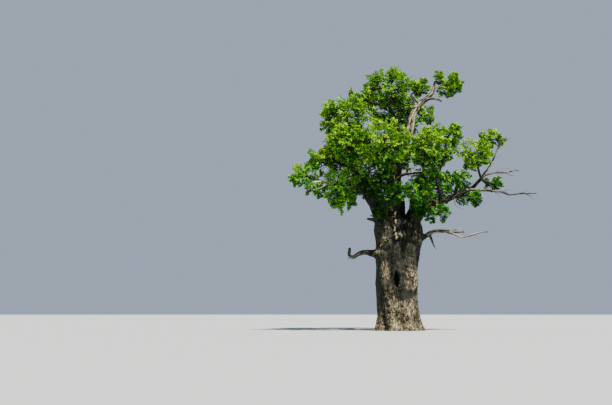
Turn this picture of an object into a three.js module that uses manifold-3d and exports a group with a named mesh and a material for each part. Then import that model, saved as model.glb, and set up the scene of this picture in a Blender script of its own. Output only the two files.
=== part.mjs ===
// An old field oak in full leaf: a very thick, fluted trunk with a hollow in its face, a few heavy
// boughs, dead bare limbs, and a crown of separate leafy masses. Millimetres, +Z up, ground at Z = 0.
import * as THREE from "three";
import { mergeVertices } from "three/addons/utils/BufferGeometryUtils.js";
import Module from "manifold-3d";

const wasm = await Module();
wasm.setup();

const { sin, cos, exp, sqrt, PI } = Math;
const goldenAngle = PI * (3 - sqrt(5));

// Gaps and clearances
const seam = 0.7; // added to a limb's radius where another piece is cut to fit it
const clearance = 20; // from a twig or leaf to any limb or stem of another piece
const borderMargin = 20; // from a mass to the plane between it and its neighbour

// Places are written as the tree's outline is seen in the upright plane through the trunk, with
// the depth in the middle. The viewer stands before the tree and looks up a little. `place`
// carries a point of the outline along its line of sight to its own depth.
const viewer = {
  at: [-4465, -41600, 850],
  tilt: THREE.MathUtils.degToRad(7.406),
  range: 42500,
  middle: [-4600, 6375],
};

function place([x, y, z]) {
  const across = (x - viewer.middle[0]) / viewer.range;
  const up = (z - viewer.middle[1]) / viewer.range;
  const reach = (y - viewer.at[1]) / (cos(viewer.tilt) - up * sin(viewer.tilt));
  return new THREE.Vector3(
    viewer.at[0] + reach * across,
    y,
    viewer.at[2] + reach * (sin(viewer.tilt) + up * cos(viewer.tilt)),
  );
}

// Trunk: the middle and half width of its outline at each height, from the root flare to the fork
const trunkOutline = [
  { height: 0, middle: 20, half: 1220 },
  { height: 250, middle: 20, half: 1090 },
  { height: 700, middle: 12, half: 1010 },
  { height: 1525, middle: -60, half: 995 },
  { height: 2350, middle: -50, half: 1025 },
  { height: 3200, middle: -70, half: 1045 },
  { height: 4000, middle: -10, half: 1068 },
  { height: 4425, middle: 20, half: 1120 },
  { height: 4850, middle: 65, half: 1180 },
  { height: 5200, middle: 60, half: 1180 },
  { height: 5470, middle: 40, half: 1060 },
  { height: 5680, middle: 40, half: 800 },
  { height: 5800, middle: 60, half: 430 },
];
const trunk = {
  sectors: 28,
  depthShare: 0.95, // its depth as a share of its width
  ribs: 7,
  ribDepth: 0.035,
  ribTwist: 0.00022, // radians a millimetre
  rootDepth: 0.12,
  rootHeight: 480, // over which the root lobes fade upwards
  crown: 60, // rise of the dome in the fork
};
const hollow = { at: [-55, -960, 2540], half: [140, 400, 400] };

const limbShape = {
  longestStep: 700, // between two rings
  taper: 1.15,
  bareTaper: 0.75, // of dead limbs, which end broken and still thick
  collarSwell: 0.22, // of a limb's radius where it starts
  collarReach: 1.6, // how soon the swelling fades, in starting radii
  finestBlunt: 30, // end radius past which a tip is rounded
  bluntReach: 0.55, // length of the rounding, in end radii
  bluntRadius: 0.7,
  prongStart: 0.45, // radii of a prong, as shares of its limb's
  prongEnd: 0.9,
  sides: [
    { from: 300, sides: 8 },
    { from: 140, sides: 6 },
    { from: 0, sides: 5 },
  ],
  prongSides: 4,
};

// Limbs: points of the middle line, and the radius where it starts and ends. Each starts inside
// the limb that carries it and is cut to fit. A prong is a second line fused to the same limb.
const limbs = [
  {
    name: "leader",
    on: "trunk",
    line: [
      [-100, 0, 5100],
      [-150, 20, 6300],
      [-200, 60, 7300],
      [0, 60, 8500],
      [400, 20, 9500],
      [600, 0, 10100],
      [720, 0, 10700],
      [970, 0, 11150],
    ],
    radii: [470, 150],
  },
  {
    name: "bough_left",
    on: "trunk",
    line: [
      [-380, 0, 5000],
      [-780, -40, 5920],
      [-1370, -60, 6670],
      [-1900, -40, 7400],
      [-2350, 20, 8250],
    ],
    radii: [500, 150],
  },
  {
    name: "bough_right_inner",
    on: "trunk",
    line: [
      [620, 0, 4800],
      [810, 20, 5650],
      [900, 50, 6350],
      [1200, 80, 6950],
      [1700, 60, 7450],
      [2050, 0, 8100],
      [2300, 0, 8850],
    ],
    radii: [410, 80],
  },
  {
    name: "bough_right",
    on: "bough_right_inner",
    line: [
      [850, -20, 5550],
      [1230, -40, 6010],
      [1650, -60, 6230],
      [2250, -60, 6450],
      [2900, -40, 6720],
    ],
    radii: [290, 130],
  },
  {
    name: "bough_right_outer",
    on: "bough_right",
    line: [
      [2750, -40, 6660],
      [3250, -20, 6850],
      [3700, 0, 7100],
      [4150, 0, 7560],
    ],
    radii: [115, 75],
  },
  {
    name: "bough_right_middle",
    on: "leader",
    line: [
      [-150, 0, 7550],
      [300, -150, 7780],
      [800, -330, 7850],
      [1250, -480, 7870],
    ],
    radii: [95, 60],
  },
  {
    name: "bough_left_low",
    on: "bough_left",
    line: [
      [-1650, -80, 7000],
      [-2300, -200, 7040],
      [-2850, -260, 7100],
      [-3400, -300, 7270],
    ],
    radii: [120, 70],
  },
  {
    name: "bough_left_front",
    on: "bough_left_low",
    line: [
      [-2250, -200, 7040],
      [-2500, -480, 7060],
      [-2680, -700, 7080],
    ],
    radii: [85, 60],
  },
  {
    name: "bough_left_out",
    on: "bough_left",
    line: [
      [-2180, 0, 7900],
      [-2650, 60, 8180],
      [-3150, 80, 8420],
    ],
    radii: [120, 75],
  },
  {
    name: "bough_left_top",
    on: "bough_left",
    line: [
      [-2260, 0, 8000],
      [-2420, -60, 8800],
      [-2450, -200, 9750],
    ],
    radii: [135, 85],
  },
  {
    name: "bough_front_left",
    on: "bough_left",
    line: [
      [-1150, -80, 6300],
      [-1250, -560, 6750],
      [-1400, -820, 7250],
    ],
    radii: [150, 85],
  },
  {
    name: "bough_front",
    on: "leader",
    line: [
      [-180, 0, 7100],
      [-350, -600, 7700],
      [-560, -1150, 8350],
    ],
    radii: [170, 95],
  },
  {
    name: "bough_front_right",
    on: "bough_right",
    line: [
      [1150, -60, 5950],
      [1280, -500, 6130],
      [1450, -800, 6280],
    ],
    radii: [120, 70],
  },
  {
    name: "bough_top",
    on: "leader",
    line: [
      [380, 20, 9300],
      [100, 160, 10050],
      [-250, 260, 10700],
      [-450, 280, 11250],
    ],
    radii: [150, 85],
  },
  {
    name: "bough_back",
    on: "leader",
    line: [
      [-190, 50, 6900],
      [-100, 850, 7700],
      [0, 1700, 8700],
      [60, 2150, 9300],
    ],
    radii: [210, 105],
  },
  {
    name: "bough_back_left",
    on: "trunk",
    line: [
      [-350, 350, 4900],
      [-650, 900, 6000],
      [-1150, 1450, 7000],
      [-1700, 1900, 7900],
    ],
    radii: [360, 110],
  },
  {
    name: "bough_back_right",
    on: "trunk",
    line: [
      [450, 400, 4900],
      [850, 950, 6000],
      [1300, 1500, 6900],
      [1800, 1850, 7700],
    ],
    radii: [350, 105],
  },
  {
    name: "fork_right",
    on: "leader",
    line: [
      [930, 0, 11080],
      [1250, -10, 11430],
      [1600, 0, 11720],
      [1800, 10, 12050],
      [1850, 20, 12420],
    ],
    radii: [150, 62],
    bare: true,
  },
  {
    name: "fork_left",
    on: "leader",
    line: [
      [960, 0, 11120],
      [800, 0, 11480],
      [640, 10, 11800],
    ],
    radii: [98, 48],
    bare: true,
  },
  {
    name: "dead_spur",
    on: "fork_right",
    line: [
      [1330, 0, 11480],
      [1650, -60, 11560],
      [1900, -90, 11540],
      [2170, -110, 11430],
    ],
    radii: [84, 34],
    bare: true,
  },
  {
    name: "dead_right_high",
    on: "bough_right_outer",
    line: [
      [4050, 0, 7460],
      [4450, -30, 7780],
      [4850, -50, 7860],
      [5400, -60, 7880],
      [6050, -60, 8000],
    ],
    radii: [62, 20],
    bare: true,
  },
  {
    name: "dead_right_riser",
    on: "bough_right_outer",
    line: [
      [4120, 0, 7500],
      [4520, 60, 8150],
      [4800, 90, 8650],
      [5010, 100, 9180],
    ],
    radii: [52, 26],
    bare: true,
  },
  {
    name: "dead_right_long",
    on: "bough_right",
    line: [
      [2650, -60, 6610],
      [3100, -330, 6860],
      [3600, -400, 7000],
      [4150, -400, 7010],
      [5000, -400, 6930],
      [5550, -400, 6790],
      [6250, -400, 6830],
      [6900, -400, 6830],
    ],
    radii: [88, 22],
    prongs: [
      [
        [6250, -400, 6830],
        [6520, -410, 6760],
        [6760, -420, 6590],
      ],
      [
        [6150, -400, 6830],
        [6280, -380, 6880],
        [6430, -370, 7010],
      ],
    ],
    bare: true,
  },
  {
    name: "dead_low_right",
    on: "trunk",
    line: [
      [950, -80, 4560],
      [1350, -90, 4700],
      [1680, -100, 4880],
      [2300, -110, 4930],
      [2800, -120, 4910],
      [3300, -130, 4870],
    ],
    radii: [128, 26],
    prongs: [
      [
        [2250, -110, 4930],
        [2750, -160, 4830],
        [3230, -190, 4670],
        [3700, -210, 4780],
        [4100, -220, 4900],
        [4480, -230, 4930],
      ],
      [
        [1550, -100, 4800],
        [1700, -130, 4480],
        [1840, -150, 4120],
      ],
    ],
    bare: true,
  },
  {
    name: "dead_low_left",
    on: "trunk",
    line: [
      [-900, -60, 3800],
      [-1300, -80, 3850],
      [-1720, -90, 3870],
      [-2020, -100, 3760],
      [-2230, -110, 3640],
      [-2420, -110, 3740],
      [-2430, -110, 4080],
    ],
    radii: [145, 34],
    bare: true,
  },
  {
    name: "dead_stub_left",
    on: "trunk",
    line: [
      [-900, -40, 5420],
      [-1250, -60, 5500],
      [-1530, -80, 5540],
    ],
    radii: [120, 48],
    bare: true,
  },
  {
    name: "dead_left_fork",
    on: "bough_left_low",
    line: [
      [-2950, -290, 7130],
      [-3300, -760, 7220],
      [-3560, -900, 7370],
      [-3880, -930, 7410],
      [-4230, -930, 7390],
    ],
    radii: [72, 30],
    prongs: [
      [
        [-3300, -760, 7220],
        [-3560, -960, 7250],
        [-3880, -1000, 7120],
        [-4230, -1010, 7030],
      ],
    ],
    bare: true,
  },
];

// Masses of foliage: the limb whose tip feeds each, the middle and half sizes of its space, and
// the tips that reach beyond that space. A dense one has a core that its sprays stand out of.
const masses = [
  {
    name: "foliage_top",
    on: "bough_top",
    at: [-500, 200, 12000],
    half: [1250, 1300, 1080],
    tips: [
      [40, 300, 13230],
      [-1650, 200, 12600],
    ],
    dense: true,
  },
  {
    name: "foliage_top_left",
    on: "bough_top",
    at: [-1900, 100, 11480],
    half: [850, 850, 620],
    dense: true,
  },
  {
    name: "foliage_fork",
    on: "fork_left",
    at: [1120, 60, 12150],
    half: [480, 460, 420],
  },
  {
    name: "foliage_top_right",
    on: "fork_right",
    at: [2520, -60, 12150],
    half: [720, 620, 530],
    tips: [
      [1850, 0, 12920],
      [2920, -100, 12880],
      [3300, -50, 12300],
    ],
    dense: true,
  },
  {
    name: "foliage_leader_side",
    on: "leader",
    at: [1420, 150, 10700],
    half: [400, 440, 480],
  },
  {
    name: "foliage_upper_left",
    on: "bough_left_top",
    at: [-2580, -450, 10700],
    half: [1330, 1200, 980],
    tips: [
      [-3920, -400, 11180],
      [-3930, -300, 9850],
    ],
    dense: true,
  },
  {
    name: "foliage_mid_left",
    on: "bough_left_out",
    at: [-2680, 200, 9150],
    half: [1080, 1350, 980],
    dense: true,
  },
  {
    name: "foliage_front",
    on: "bough_front",
    at: [-750, -1950, 9430],
    half: [1480, 1250, 1130],
    dense: true,
  },
  {
    name: "foliage_front_left",
    on: "bough_left_top",
    at: [-2450, -2000, 9350],
    half: [1050, 950, 950],
    dense: true,
  },
  {
    name: "foliage_back_far_left",
    on: "bough_left_out",
    at: [-3480, 1650, 8350],
    half: [880, 950, 780],
    dense: true,
  },
  {
    name: "foliage_far_left_upper",
    on: "bough_left_out",
    at: [-4000, -50, 8580],
    half: [650, 650, 530],
  },
  {
    name: "foliage_far_left",
    on: "bough_left_low",
    at: [-4700, -300, 7720],
    half: [700, 700, 640],
    tips: [[-5430, -350, 7350]],
    dense: true,
  },
  {
    name: "foliage_low_left_outer",
    on: "bough_left_low",
    at: [-4150, -330, 6970],
    half: [540, 540, 420],
  },
  {
    name: "foliage_low_left",
    on: "bough_left_front",
    at: [-2920, -950, 7080],
    half: [870, 880, 1040],
    tips: [
      [-2920, -850, 5760],
      [-2080, -800, 6080],
    ],
    dense: true,
  },
  {
    name: "foliage_inner_left",
    on: "bough_front_left",
    at: [-1480, -1150, 7880],
    half: [1180, 1150, 850],
    dense: true,
  },
  {
    name: "foliage_trunk_tuft",
    on: "trunk",
    root: [-600, -700, 5400],
    at: [-520, -1300, 6620],
    half: [640, 470, 760],
  },
  {
    name: "foliage_right_centre",
    on: "bough_right_middle",
    at: [1450, -950, 9050],
    half: [1150, 1200, 1000],
    tips: [[1480, -500, 10200]],
    dense: true,
  },
  {
    name: "foliage_right_inner",
    on: "bough_right_middle",
    at: [1450, -950, 7530],
    half: [820, 780, 640],
    dense: true,
  },
  {
    name: "foliage_right_upper",
    on: "bough_right_inner",
    at: [2480, -50, 9680],
    half: [740, 720, 560],
    tips: [[3050, -50, 10280]],
    dense: true,
  },
  {
    name: "foliage_right_outer",
    on: "bough_right_outer",
    at: [3820, 100, 8780],
    half: [870, 1050, 830],
    tips: [
      [3300, 0, 8020],
      [4780, 0, 8620],
    ],
    dense: true,
  },
  {
    name: "foliage_right_tip",
    on: "bough_right_outer",
    at: [4720, -80, 7300],
    half: [500, 430, 290],
  },
  {
    name: "foliage_right_top",
    on: "dead_right_riser",
    at: [4560, 300, 9540],
    half: [680, 560, 430],
    tips: [[5400, 200, 9400]],
  },
  {
    name: "foliage_right_lower",
    on: "bough_right",
    at: [2930, -550, 7420],
    half: [800, 820, 580],
    dense: true,
  },
  {
    name: "foliage_right_under",
    on: "bough_right",
    at: [3750, -500, 6560],
    half: [470, 430, 330],
  },
  {
    name: "foliage_low_right_front",
    on: "bough_front_right",
    at: [960, -1270, 6780],
    half: [860, 700, 720],
    dense: true,
  },
  {
    name: "foliage_low_right",
    on: "bough_front_right",
    at: [1950, -850, 5800],
    half: [700, 600, 460],
  },
  {
    name: "foliage_back_top",
    on: "bough_back",
    at: [-50, 2050, 10700],
    half: [1650, 1400, 1150],
    dense: true,
  },
  {
    name: "foliage_back",
    on: "bough_back",
    at: [-50, 3500, 8850],
    half: [1600, 1350, 1250],
    dense: true,
  },
  {
    name: "foliage_back_left",
    on: "bough_back_left",
    at: [-2350, 2800, 9200],
    half: [1450, 1450, 1300],
    dense: true,
  },
  {
    name: "foliage_back_left_low",
    on: "bough_back_left",
    at: [-2250, 2350, 7150],
    half: [1200, 1250, 950],
    dense: true,
  },
  {
    name: "foliage_back_right",
    on: "bough_back_right",
    at: [1950, 2650, 9200],
    half: [1250, 1450, 1150],
    dense: true,
  },
  {
    name: "foliage_back_right_low",
    on: "bough_back_right",
    at: [1750, 2800, 7100],
    half: [1200, 1250, 950],
    dense: true,
  },
];

const growth = {
  seed: 40127,
  leastSprays: 5,
  spraysPerSquareMetre: 6.45, // of a mass's mean squared half size
  largeMass: 12, // sprays, past which a mass has four to a twig in place of three
  twigReach: 0.62, // how far out in its space a twig ends
  steepest: 0.95, // sine of a twig's rise
  twigRadii: [42, 30],
  twigSides: 3,
  stemRadii: [52, 44],
  stemSides: 5,
  lumpShare: 0.4, // radius of the lump at a tip beyond the space, as a share of the mean half size
  lumpSprays: 3,
  longestSpray: 1000,
  overReach: [0.96, 1.04], // how far sprays run, as a share of the way to the outline
  sprayWidthShare: 0.95,
  sprayWidest: 0.6, // place of its widest point along its length
  sprayThickness: 60,
  sprayFace: new THREE.Vector3(0.1, -0.1, 0.8), // added to the twig's own direction
  outwardShare: 0.7,
  spraySunk: 6, // length of its root past the middle line of the twig
  firstSpray: 0.04, // from the end of the twig to its last spray, as a share of the twig
  spraySpacing: 0.16, // between two sprays, as a share of the twig
  lumpSpacing: 0.02,
  endAngle: 0.3, // between a twig and the spray at its end
  fanAngle: 1.15, // between a twig and the sprays along it
  // Widest spread of the seeded draws
  scatter: { level: 0.2, turn: 0.6, reach: 0.12, fan: 0.3, sprayTurn: 0.8 },
  // A spray that would cross another tries these turns round the twig and shares of its length
  tries: [
    [0, 1],
    [0.7, 1],
    [-0.7, 1],
    [1.4, 0.85],
    [0, 0.7],
  ],
  coreShare: 0.79, // size of the core, as a share of the space
  coreRoughness: 0.1,
  smallestEdge: 8, // where sprays join their twigs
  fineCore: 1000, // mean half size past which the core is a finer ball
};

// Closed solid from rings of points that run round the direction of travel. A tip closes an end
// to a point; without one the end is flat.
function loft(rings, firstTip, lastTip) {
  const around = rings[0].length;
  const points = rings.flat();
  const faces = [];
  for (let i = 0; i + 1 < rings.length; i += 1) {
    for (let j = 0; j < around; j += 1) {
      const next = (j + 1) % around;
      const low = i * around;
      const high = low + around;
      faces.push(low + j, low + next, high + next);
      faces.push(low + j, high + next, high + j);
    }
  }
  const close = (ring, tip) => {
    if (tip) {
      points.push(tip);
      ring.forEach((j, k) => faces.push(points.length - 1, j, ring[(k + 1) % around]));
    } else {
      for (let k = 1; k + 1 < around; k += 1) {
        faces.push(ring[0], ring[k], ring[k + 1]);
      }
    }
  };
  const firstRing = rings[0].map((_, j) => around - 1 - j);
  const lastRing = rings[0].map((_, j) => (rings.length - 1) * around + j);
  close(firstRing, firstTip);
  close(lastRing, lastTip);
  return solidOf(points, faces);
}

function solidOf(points, faces) {
  return new wasm.Manifold(
    new wasm.Mesh({
      numProp: 3,
      vertProperties: new Float32Array(points.flatMap((p) => p.toArray())),
      triVerts: new Uint32Array(faces),
    }),
  );
}

// Closed solid from a three.js geometry whose corners are shared by position alone
function solidFrom(geometry, size, middle) {
  geometry.deleteAttribute("normal");
  geometry.deleteAttribute("uv");
  const shared = mergeVertices(geometry);
  shared.scale(...size);
  shared.translate(...middle.toArray());
  return new wasm.Manifold(
    new wasm.Mesh({
      numProp: 3,
      vertProperties: shared.attributes.position.array,
      triVerts: new Uint32Array(shared.index.array),
    }),
  );
}

const cutBy = (solid, cutters) => cutters.reduce((rest, cutter) => rest.subtract(cutter), solid);

// The largest body of a solid, with sealed hollows and loose scraps left out
function mainBody(solid) {
  const bodies = solid.decompose();
  return bodies.reduce((a, b) => (b.volume() > a.volume() ? b : a));
}

function seededRandom(seed) {
  let state = seed;
  return () => {
    state = (state * 1664525 + 1013904223) % 4294967296;
    return state / 4294967296;
  };
}

// A tapering limb along a smooth line, with a swollen collar where it starts and a blunt tip
function sweep(line, [startRadius, endRadius], sides, extra, taper) {
  const curve = new THREE.CatmullRomCurve3(line, false, "centripetal");
  const length = curve.getLength();
  const steps = Math.max(line.length - 1, Math.round(length / limbShape.longestStep));
  const frames = curve.computeFrenetFrames(steps, false);
  const pointAt = (i, ahead) =>
    curve.getPointAt(i / steps).addScaledVector(frames.tangents[i], ahead);
  const ringAt = (i, radius, ahead) =>
    Array.from({ length: sides }, (_, j) => {
      const turn = (j / sides) * 2 * PI;
      return pointAt(i, ahead)
        .addScaledVector(frames.normals[i], radius * cos(turn))
        .addScaledVector(frames.binormals[i], radius * sin(turn));
    });
  const rings = [];
  for (let i = 0; i <= steps; i += 1) {
    const along = i / steps;
    const fade = exp((-along * length) / (limbShape.collarReach * startRadius));
    const radius = endRadius + (startRadius - endRadius) * (1 - along) ** taper;
    const collar = 1 + limbShape.collarSwell * fade;
    rings.push(ringAt(i, radius * collar + extra, i === 0 ? -extra : 0));
  }
  const blunt = endRadius * limbShape.bluntReach;
  if (endRadius > limbShape.finestBlunt) {
    rings.push(ringAt(steps, endRadius * limbShape.bluntRadius + extra, blunt));
  }
  return loft(rings, pointAt(0, -2 * extra), pointAt(steps, endRadius + extra));
}

function limbSolid({ line, radii, bare, prongs = [] }, extra = 0) {
  const { sides } = limbShape.sides.find(({ from }) => radii[0] > from);
  const taper = bare ? limbShape.bareTaper : limbShape.taper;
  const prongRadii = [radii[0] * limbShape.prongStart, radii[1] * limbShape.prongEnd];
  return prongs.reduce(
    (solid, prong) =>
      solid.add(sweep(prong.map(place), prongRadii, limbShape.prongSides, extra, taper)),
    sweep(line.map(place), radii, sides, extra, taper),
  );
}

// Trunk: a ring at each height of the outline, with ribs that twist a little as they rise and
// lobes at the ground
function trunkSolid(extra = 0) {
  const rings = trunkOutline.map(({ height, middle, half }) => {
    const left = place([middle - half, 0, height]);
    const right = place([middle + half, 0, height]);
    const z = height === 0 ? 0 : left.z + extra;
    return Array.from({ length: trunk.sectors }, (_, j) => {
      const turn = (j / trunk.sectors) * 2 * PI;
      const rib = cos(trunk.ribs * (turn + z * trunk.ribTwist));
      const root = exp(-z / trunk.rootHeight);
      const swell = 1 + rib * (trunk.ribDepth + (trunk.rootDepth - trunk.ribDepth) * root);
      const radius = ((right.x - left.x) / 2) * swell + extra;
      return new THREE.Vector3(
        (left.x + right.x) / 2 + radius * cos(turn),
        trunk.depthShare * radius * sin(turn),
        z,
      );
    });
  });
  const ringMiddle = (ring, rise) =>
    ring
      .reduce((sum, p) => sum.add(p), new THREE.Vector3())
      .divideScalar(trunk.sectors)
      .add(new THREE.Vector3(0, 0, rise));
  const body = loft(rings, ringMiddle(rings[0], 0), ringMiddle(rings.at(-1), trunk.crown));
  return body.subtract(
    solidFrom(new THREE.SphereGeometry(1, 12, 8), hollow.half, place(hollow.at)),
  );
}

// Spaces of the masses: each keeps to its own side of the plane between it and every other mass
const spaces = masses.map(({ at, half }) => ({
  middle: place(at),
  half: new THREE.Vector3(...half),
}));

function borders(index) {
  const own = spaces[index];
  return spaces
    .filter((other) => other !== own)
    .map((other) => {
      const across = other.middle.clone().sub(own.middle);
      const apart = across.length();
      across.normalize();
      const ownReach = own.half.clone().multiply(across).length();
      const otherReach = other.half.clone().multiply(across).length();
      const share = ownReach / (ownReach + otherReach);
      return { across, limit: own.middle.dot(across) + apart * share - borderMargin };
    });
}

// A spray of leaves as one flat diamond with eight faces, its root sunk in the twig
function sprayPoints(root, along, face, length) {
  const side = new THREE.Vector3().crossVectors(along, face).normalize();
  const normal = new THREE.Vector3().crossVectors(side, along).normalize();
  const start = root.clone().addScaledVector(along, -growth.spraySunk);
  const widest = root.clone().addScaledVector(along, length * growth.sprayWidest);
  const halfWidth = (length * growth.sprayWidthShare) / 2;
  return [
    start,
    widest.clone().addScaledVector(side, halfWidth),
    root.clone().addScaledVector(along, length),
    widest.clone().addScaledVector(side, -halfWidth),
    widest.clone().addScaledVector(normal, growth.sprayThickness / 2),
    widest.clone().addScaledVector(normal, -growth.sprayThickness / 2),
  ];
}

function spraySolid(points) {
  const faces = [];
  for (let i = 0; i < 4; i += 1) {
    const next = (i + 1) % 4;
    faces.push(4, i, next, 5, next, i);
  }
  return solidOf(points, faces);
}

// Two directions that stand square on a given one and on each other
function acrossTo(along) {
  const side = new THREE.Vector3(along.y, -along.x, 0.3).cross(along).normalize();
  return [side, new THREE.Vector3().crossVectors(along, side)];
}

function twigSolid(start, end, radii, sides) {
  const along = end.clone().sub(start).normalize();
  const [side, up] = acrossTo(along);
  const ring = (middle, radius) =>
    Array.from({ length: sides }, (_, j) => {
      const turn = (j / sides) * 2 * PI;
      return middle
        .clone()
        .addScaledVector(side, radius * cos(turn))
        .addScaledVector(up, radius * sin(turn));
    });
  return loft([ring(start, radii[0]), ring(end, radii[1])]);
}

// Stems of the masses, each from the tip of its bough, or a root in the trunk, to the middle of
// its space. A grown one is what other pieces are cut clear of.
const tipOf = new Map(limbs.map(({ name, line }) => [name, place(line.at(-1))]));

function stemSolid(index, extra = 0) {
  const { on, root } = masses[index];
  const start = root ? place(root) : tipOf.get(on).clone();
  const end = spaces[index].middle;
  const along = end.clone().sub(start).normalize();
  const radii = growth.stemRadii.map((radius) => radius + extra);
  return twigSolid(start.addScaledVector(along, -extra), end, radii, growth.stemSides);
}

const stems = masses.map((_, index) => stemSolid(index));
const grownStems = masses.map((_, index) => stemSolid(index, 2 * seam));

const meanHalf = ({ half }) => (half.x + half.y + half.z) / 3;
const spread = (random, range) => (random() - 0.5) * range;

// Twigs of a mass: even directions round its middle, then the tips that reach beyond its space.
// Each carries sprays out to an outline: the mass's own, or a small round lump at the tip.
function twigsOf(mass, space, random) {
  const { x, y, z } = space.half;
  const squared = (x * y + y * z + z * x) / 3e6;
  const wanted = growth.leastSprays + growth.spraysPerSquareMetre * squared;
  const sprays = wanted > growth.largeMass ? 4 : 3;
  const count = Math.round(wanted / sprays);
  const twigs = [];
  for (let i = 0; i < count; i += 1) {
    const level = 1 - (2 * (i + 0.5)) / count + spread(random, growth.scatter.level);
    const rise = THREE.MathUtils.clamp(level, -growth.steepest, growth.steepest);
    const turn = goldenAngle * i + spread(random, growth.scatter.turn);
    const flat = sqrt(1 - rise * rise);
    const reach = growth.twigReach + spread(random, growth.scatter.reach);
    const outward = new THREE.Vector3(flat * cos(turn), flat * sin(turn), rise);
    const end = outward.multiply(space.half).multiplyScalar(reach).add(space.middle);
    twigs.push({ end, sprays, spacing: growth.spraySpacing, outline: space });
  }
  const radius = meanHalf(space) * growth.lumpShare;
  for (const tip of (mass.tips ?? []).map(place)) {
    const outward = tip.clone().sub(space.middle).normalize();
    const middle = tip.addScaledVector(outward, -radius);
    const outline = { middle, half: new THREE.Vector3(radius, radius, radius) };
    const { lumpSprays: sprays, lumpSpacing: spacing } = growth;
    twigs.push({ end: middle.clone(), sprays, spacing, outline });
  }
  return twigs;
}

// Distance from a point inside an outline to that outline along a direction
function distanceOut({ middle, half }, from, along) {
  const start = from.clone().sub(middle).divide(half);
  const step = along.clone().divide(half);
  const a = step.lengthSq();
  const b = start.dot(step);
  const c = Math.min(0, start.lengthSq() - 1);
  return (sqrt(b * b - a * c) - b) / a;
}

// The core of a dense mass: a rough ball, drawn in where it would cross a border
function coreSolid(space, inside, random) {
  const ball = new THREE.IcosahedronGeometry(1, meanHalf(space) > growth.fineCore ? 1 : 0);
  ball.deleteAttribute("normal");
  ball.deleteAttribute("uv");
  const shared = mergeVertices(ball);
  const points = [];
  for (let i = 0; i < shared.attributes.position.count; i += 1) {
    const share = growth.coreShare * (1 + spread(random, 2 * growth.coreRoughness));
    const point = new THREE.Vector3().fromBufferAttribute(shared.attributes.position, i);
    point.multiply(space.half).multiplyScalar(share).add(space.middle);
    while (!inside([point])) {
      point.lerp(space.middle, 0.1);
    }
    points.push(point);
  }
  return solidOf(points, shared.index.array);
}

// The first spray, of the tries from one place on a twig, that fits is returned
function fittingSpray({ outline }, root, outward, away, turn, over, fits) {
  const [across, other] = acrossTo(outward);
  const face = outward.clone().multiplyScalar(growth.outwardShare).add(growth.sprayFace);
  for (const [turned, share] of growth.tries) {
    const along = outward
      .clone()
      .multiplyScalar(cos(away))
      .addScaledVector(across, sin(away) * cos(turn + turned))
      .addScaledVector(other, sin(away) * sin(turn + turned));
    const reach = distanceOut(outline, root, along) * over * share;
    const points = sprayPoints(root, along, face, Math.min(growth.longestSpray, reach));
    const spray = spraySolid(points);
    if (fits(spray, points)) {
      return spray;
    }
  }
  return null;
}

// The leafy part of one mass: twigs from the end of the stem, with sprays along each of them.
// Whatever would cross a border or come near a limb or another mass's stem is left out, and the
// core is cut clear of the other stems.
function growMass(mass, index, obstacles) {
  const space = spaces[index];
  const limits = borders(index);
  const random = seededRandom(growth.seed + 7919 * index);
  const inside = (points) =>
    points.every((p) => p.z > 0 && limits.every(({ across, limit }) => p.dot(across) < limit));
  const clear = (solid) =>
    obstacles
      .filter(({ owner }) => owner !== mass)
      .every((other) => other.solid.minGap(solid, clearance) >= clearance);
  const core = mass.dense ? [coreSolid(space, inside, random)] : [];
  const grownParts = [];
  for (const twig of twigsOf(mass, space, random)) {
    const outward = twig.end.clone().sub(space.middle).normalize();
    const solid = twigSolid(space.middle, twig.end, growth.twigRadii, growth.twigSides);
    const neighbours = [...grownParts];
    const open = inside([twig.end]) && clear(solid);
    if (open) {
      grownParts.push(solid);
    }
    const fits = (spray, points) =>
      open &&
      neighbours.every((piece) => piece.minGap(spray, 1) >= 1) &&
      inside(points) &&
      clear(spray);
    for (let k = 0; k < twig.sprays; k += 1) {
      const turn = goldenAngle * k + random() * growth.scatter.sprayTurn;
      const fan = growth.fanAngle + spread(random, growth.scatter.fan);
      const over = THREE.MathUtils.lerp(...growth.overReach, random());
      const root = twig.end.clone().lerp(space.middle, growth.firstSpray + k * twig.spacing);
      const away = k === 0 ? growth.endAngle : fan;
      const spray = fittingSpray(twig, root, outward, away, turn, over, fits);
      if (spray) {
        grownParts.push(spray);
        neighbours.push(spray);
      }
    }
  }
  const leafy = wasm.Manifold.union([...core, ...grownParts]).simplify(growth.smallestEdge);
  const otherStems = grownStems.filter((_, other) => other !== index);
  return cutBy(leafy, otherStems).add(stems[index]);
}

// Materials
const barkMaterial = new THREE.MeshStandardMaterial({ color: 0x4a4636, roughness: 0.95, metalness: 0 });
const bareMaterial = new THREE.MeshStandardMaterial({ color: 0x8e8a76, roughness: 0.9, metalness: 0 });
const leafColours = [0x3f5c10, 0x567a14, 0x2f4a12, 0x6b9018];

function meshOf(name, solid, material, origin) {
  const { numProp, vertProperties, triVerts } = solid.getMesh();
  const geometry = new THREE.BufferGeometry();
  const positions = vertProperties.filter((_, i) => i % numProp < 3);
  geometry.setAttribute("position", new THREE.BufferAttribute(positions, 3));
  geometry.setIndex(new THREE.BufferAttribute(triVerts, 1));
  geometry.translate(-origin.x, -origin.y, -origin.z);
  geometry.computeVertexNormals();
  const mesh = new THREE.Mesh(geometry, material);
  mesh.name = name;
  mesh.position.copy(origin);
  return mesh;
}

const tree = new THREE.Group();
const wood = new THREE.Group();
const crown = new THREE.Group();
tree.add(wood, crown);

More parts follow.
